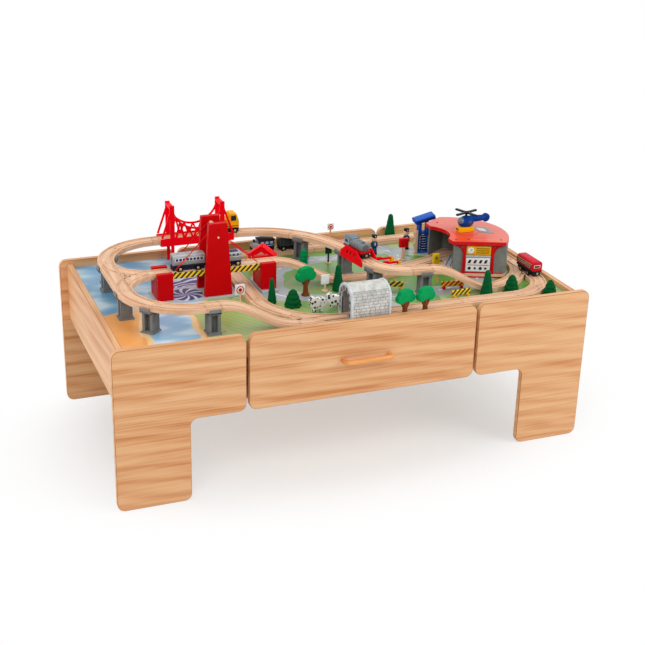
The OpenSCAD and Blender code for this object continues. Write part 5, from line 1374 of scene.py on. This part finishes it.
# %% Vehicle parts
BODY_Z, MAGNET_Z, BODY_WIDTH = 12.9, 8.4, 31.0
cars = {}


class Car:
    """One vehicle's list of parts. Heights count from its floor, BODY_Z above the rail."""

    def __init__(self, name, paint):
        """A narrow block between the wheels, axle boxes, and a magnet in a cup at each end."""
        half, axle = TRAINS[name][4] / 2, TRAINS[name][5] / 2
        self.parts = [(block((3 - half, -10.4, 2.2), (half - 3, 10.4, 13.4), 1.2, 0.6), MATT, paint)]
        for s in (-1, 1):
            cup = [(4.3, x) for x in sorted((s * (half - 4.2), s * (half - 0.6)))]
            magnet = [(3.4, s * (half - 1.2)), (3.4, s * (half - 0.2)), (2.8, s * half)]
            box = block((s * axle - 4.5, -9.6, 10.6), (s * axle + 4.5, 9.6, 13.2), 1, 0.5)
            self.parts += [(put(lathe(cup, 20, 0), (0, 0, MAGNET_Z)), MATT, BLACK),
                           (put(lathe(magnet, 20, 0), (0, 0, MAGNET_Z)), STEEL, STEEL_GREY), (box, MATT, BLACK)]
        cars[name] = self
        print("vehicle:", name, 2 * half, "mm")

    def add(self, shape, paint, finish=LACQUER):
        self.parts.append((shape, finish, paint))

    def block(self, low, high, r, edge, paint, finish=LACQUER, along=2):
        """A soft block between two corners."""
        (x0, y0, z0), (x1, y1, z1) = low, high
        self.add(block((x0, y0, BODY_Z + z0), (x1, y1, BODY_Z + z1), r, edge, along), paint, finish)

    def shell(self, x0, x1, low, high, r, paint, finish=LACQUER, width=BODY_WIDTH, edge=1.6):
        """A rounded section carried along the vehicle between two heights."""
        self.block((x0, -width / 2, low), (x1, width / 2, high), r, edge, paint, finish, 0)

    def panes(self, xs, low, high, w, paint, proud=0.3, finish=GLOSS):
        """A row of shallow panels on both sides, each a soft block half sunk in the body."""
        for x in xs:
            for s in (-1, 1):
                self.block((x - w / 2, s * (BODY_WIDTH / 2 - 1.0), low),
                           (x + w / 2, s * (BODY_WIDTH / 2 + proud), high), 1.0, 0.3, paint, finish, 1)

    def end_pane(self, x, half, low, high, paint, finish=GLOSS):
        """A shallow panel on one end of the body."""
        self.block((x - 0.5, -half, low), (x + 0.5, half, high), 1.2, 0.3, paint, finish, 0)

    def line(self, x0, x1, z, paint, width=BODY_WIDTH, thick=0.7):
        """A thin raised line along both sides."""
        for s in (-1, 1):
            self.add(tube([(x, s * width / 2, BODY_Z + z) for x in (x0, x1)], thick, 6), paint)


print("vehicle parts: shell, panes, end_pane, line, block")

# %% [markdown]
# The coaches and the tender are long rounded shells with a dark strip below and rows of windows.
# A window is a panel on a wider panel, so that it has a frame.

# %% Coaches and tender
SILVER_GREY, STOCK_NAVY, TENDER_GLASS = rgb(164, 167, 172), rgb(30, 34, 60), rgb(34, 38, 50)
coach = Car("silver_coach", STOCK_NAVY)
coach.shell(-39, 39, 0.2, 27, 7, SILVER_GREY, SILVER)
coach.shell(-38, 38, -2.2, 2, 1.2, rgb(30, 34, 56), width=30.4, edge=0.8)
coach.panes([0], 12.6, 20.4, 70, WHITE, 0.25, LACQUER)
coach.panes(np.linspace(-30, 30, 8), 13.4, 19.6, 6.6, NAVY, 0.45)
for z in (4.5, 6.5, 8.5, 10.5):
    coach.line(-37, 37, z, MID_GREY, 30.6, 0.55)
for x in (-38.9, 38.9):
    coach.end_pane(x, 4.2, 5, 20, DARK)
for x in (-24, 0, 24):
    coach.block((x - 4, -3, 26.2), (x + 4, 3, 27.6), 1, 0.5, MID_GREY, SILVER)
tender = Car("silver_tender", STOCK_NAVY)
tender.shell(-20, 20, 9, 20.6, 5, SILVER_GREY, SILVER)
tender.shell(-20, 20, 0, 11, 1.4, MID_GREY, SILVER, edge=0.9)
tender.shell(-19.4, 19.4, -2, 1.6, 1.2, NAVY, width=30.4, edge=0.8)
tender.panes((-10, 0, 10), 13, 18, 5, TENDER_GLASS)
tender.line(-19, 19, 11, WHITE, 30.8)
tender.block((-14, -9, 20.2), (14, 9, 20.9), 2, 0.3, NAVY)
tender.end_pane(19.9, 8, 12.5, 18, TENDER_GLASS)
WINE, COACH_GLASS = rgb(206, 26, 46), rgb(54, 40, 48)
coach = Car("red_coach", BLACK)
coach.shell(-38, 38, 0.2, 26, 8, WINE)
coach.shell(-37.4, 37.4, -2.0, 3.4, 1.2, BLACK, width=30.6, edge=0.8)
coach.panes([0], 8.2, 17.8, 68, rgb(70, 12, 24), 0.15, LACQUER)
coach.panes(np.linspace(-28, 28, 7), 9.6, 16.4, 6.6, CREAM, 0.45, LACQUER)
coach.panes(np.linspace(-28, 28, 7), 10.5, 15.5, 5.0, COACH_GLASS, 0.6)
coach.line(-36.5, 36.5, 19.6, rgb(214, 176, 96), 30.9, 0.5)
for x in (-37.9, 37.9):
    coach.end_pane(x, 9, 9.5, 17, CREAM, LACQUER)
    coach.end_pane(x * 1.004, 7.6, 10.5, 16, COACH_GLASS)

# %% [markdown]
# The blue engine is a tall cab behind a low nose with a funnel, and the wagon coupled to it is an open box
# with posts on its sides.

# %% Blue engine and wagon
CAB_GLASS, WAGON = rgb(150, 176, 196), rgb(72, 76, 80)
loco = Car("blue_loco", BLACK)
loco.shell(-30, 13, 0, 20, 4, NAVY)
loco.shell(-31, 14, 18.6, 23, 2.0, BLACK, edge=1.2)
loco.shell(12, 30, 0, 14, 4, rgb(150, 156, 160))
loco.panes((-21, -9, 4), 10.5, 17, 8.5, CAB_GLASS)
loco.line(-29, 12, 6.5, rgb(210, 214, 216))
loco.end_pane(13.2, 10, 14.4, 18.4, CAB_GLASS)
loco.end_pane(29.9, 6, 5, 9, YELLOW, LACQUER)
loco.add(put(lathe([(2.6, 0), (2.6, 6), (3.4, 7.5), (3.0, 8)], 18), (22, 0, BODY_Z + 13)), BLACK)
wagon = Car("dark_wagon", BLACK)
for low, high in (((-27, -15.5, 0), (27, 15.5, 6)), ((-27, -15.5, 4), (27, -12.5, 20)),
                  ((-27, 12.5, 4), (27, 15.5, 20)), ((-27, -13, 4), (-24, 13, 20)), ((24, -13, 4), (27, 13, 20))):
    wagon.block(low, high, 1, 0.6, WAGON)
for x in np.linspace(-22, 22, 5):
    for s in (-1, 1):
        wagon.block((x - 1, s * 15, 1), (x + 1, s * 16, 19), 0.6, 0.3, DARK)
wagon.line(-26.5, 26.5, 19.4, DARK, 30.6, 0.9)

# %% [markdown]
# The grey engine has a round boiler in front of its cab, with turned domes. The truck's cab is sawn from its side
# view, a filleted outline carried across its width, and its windscreen leans with the cab.

# %% Grey engine and truck
STEAM, IRON, TRUCK_GLASS = rgb(126, 130, 132), rgb(96, 100, 104), rgb(30, 34, 44)
loco = Car("grey_loco", BLACK)
loco.shell(-43, 42, 0, 6, 2, RED, edge=0.9)
loco.shell(-41, -12, 5, 29, 8, STEAM, edge=3)
loco.shell(-14, 40, 5, 24, 9, STEAM, edge=5)
loco.panes((-26.5,), 7, 21.5, 22, rgb(150, 190, 214), 0.2, LACQUER)
loco.panes((-26.5,), 12.5, 20.5, 14, rgb(60, 78, 96), 0.4)
loco.end_pane(-12.2, 9.5, 24, 27, rgb(126, 176, 206))
loco.add(put(lathe([(8.6, 39.4), (8.6, 40.2), (7.6, 40.8), (2.0, 41.0)], 28, 0), (0, 0, BODY_Z + 14)), IRON)
loco.add(put(lathe([(4.4, 22), (4.2, 25), (4.8, 26.4), (4.2, 27)], 20), (28, 0, BODY_Z)), IRON)
loco.add(put(lathe([(5, 22), (5, 24.4), (3.6, 26), (1.2, 26.4)], 20), (8, 0, BODY_Z)), STEAM)
loco.panes((-1, 12, 25), 8, 20, 1.6, rgb(104, 108, 112), 0.3, LACQUER)
truck = Car("yellow_truck", BLACK)
truck.shell(-30, 4, 0, 26, 3, AMBER)
cab = filleted([(3, 0), (30, 0), (30, 18), (22.5, 40), (3, 40)], 4, 4)
truck.add(put(plate(cab, 31, 3, 4), (0, 15.5, BODY_Z), stand=True), AMBER)
windscreen = block((-0.6, -11, 3), (0.6, 11, 19), 1.2, 0.4)
truck.add(put(windscreen, (29.8, 0, BODY_Z + 18), lean=-18.8), TRUCK_GLASS, GLOSS)
truck.panes((14.5,), 20, 34, 14, TRUCK_GLASS)
truck.line(-29, 28, 6, BLACK, 30.8, 0.9)
truck.panes((-20, -9), 9, 22, 8, rgb(214, 150, 14), 0.4, LACQUER)

# %% [markdown]
# Last, each list of parts becomes one piece on its own body, turned along its track.

# %% Vehicles on the track
for name, (x, y, turn, rail, _, _, slot) in TRAINS.items():
    piece(name + "_toy", name, placed(cars[name].parts, (x, y, rail), turn), (name,))
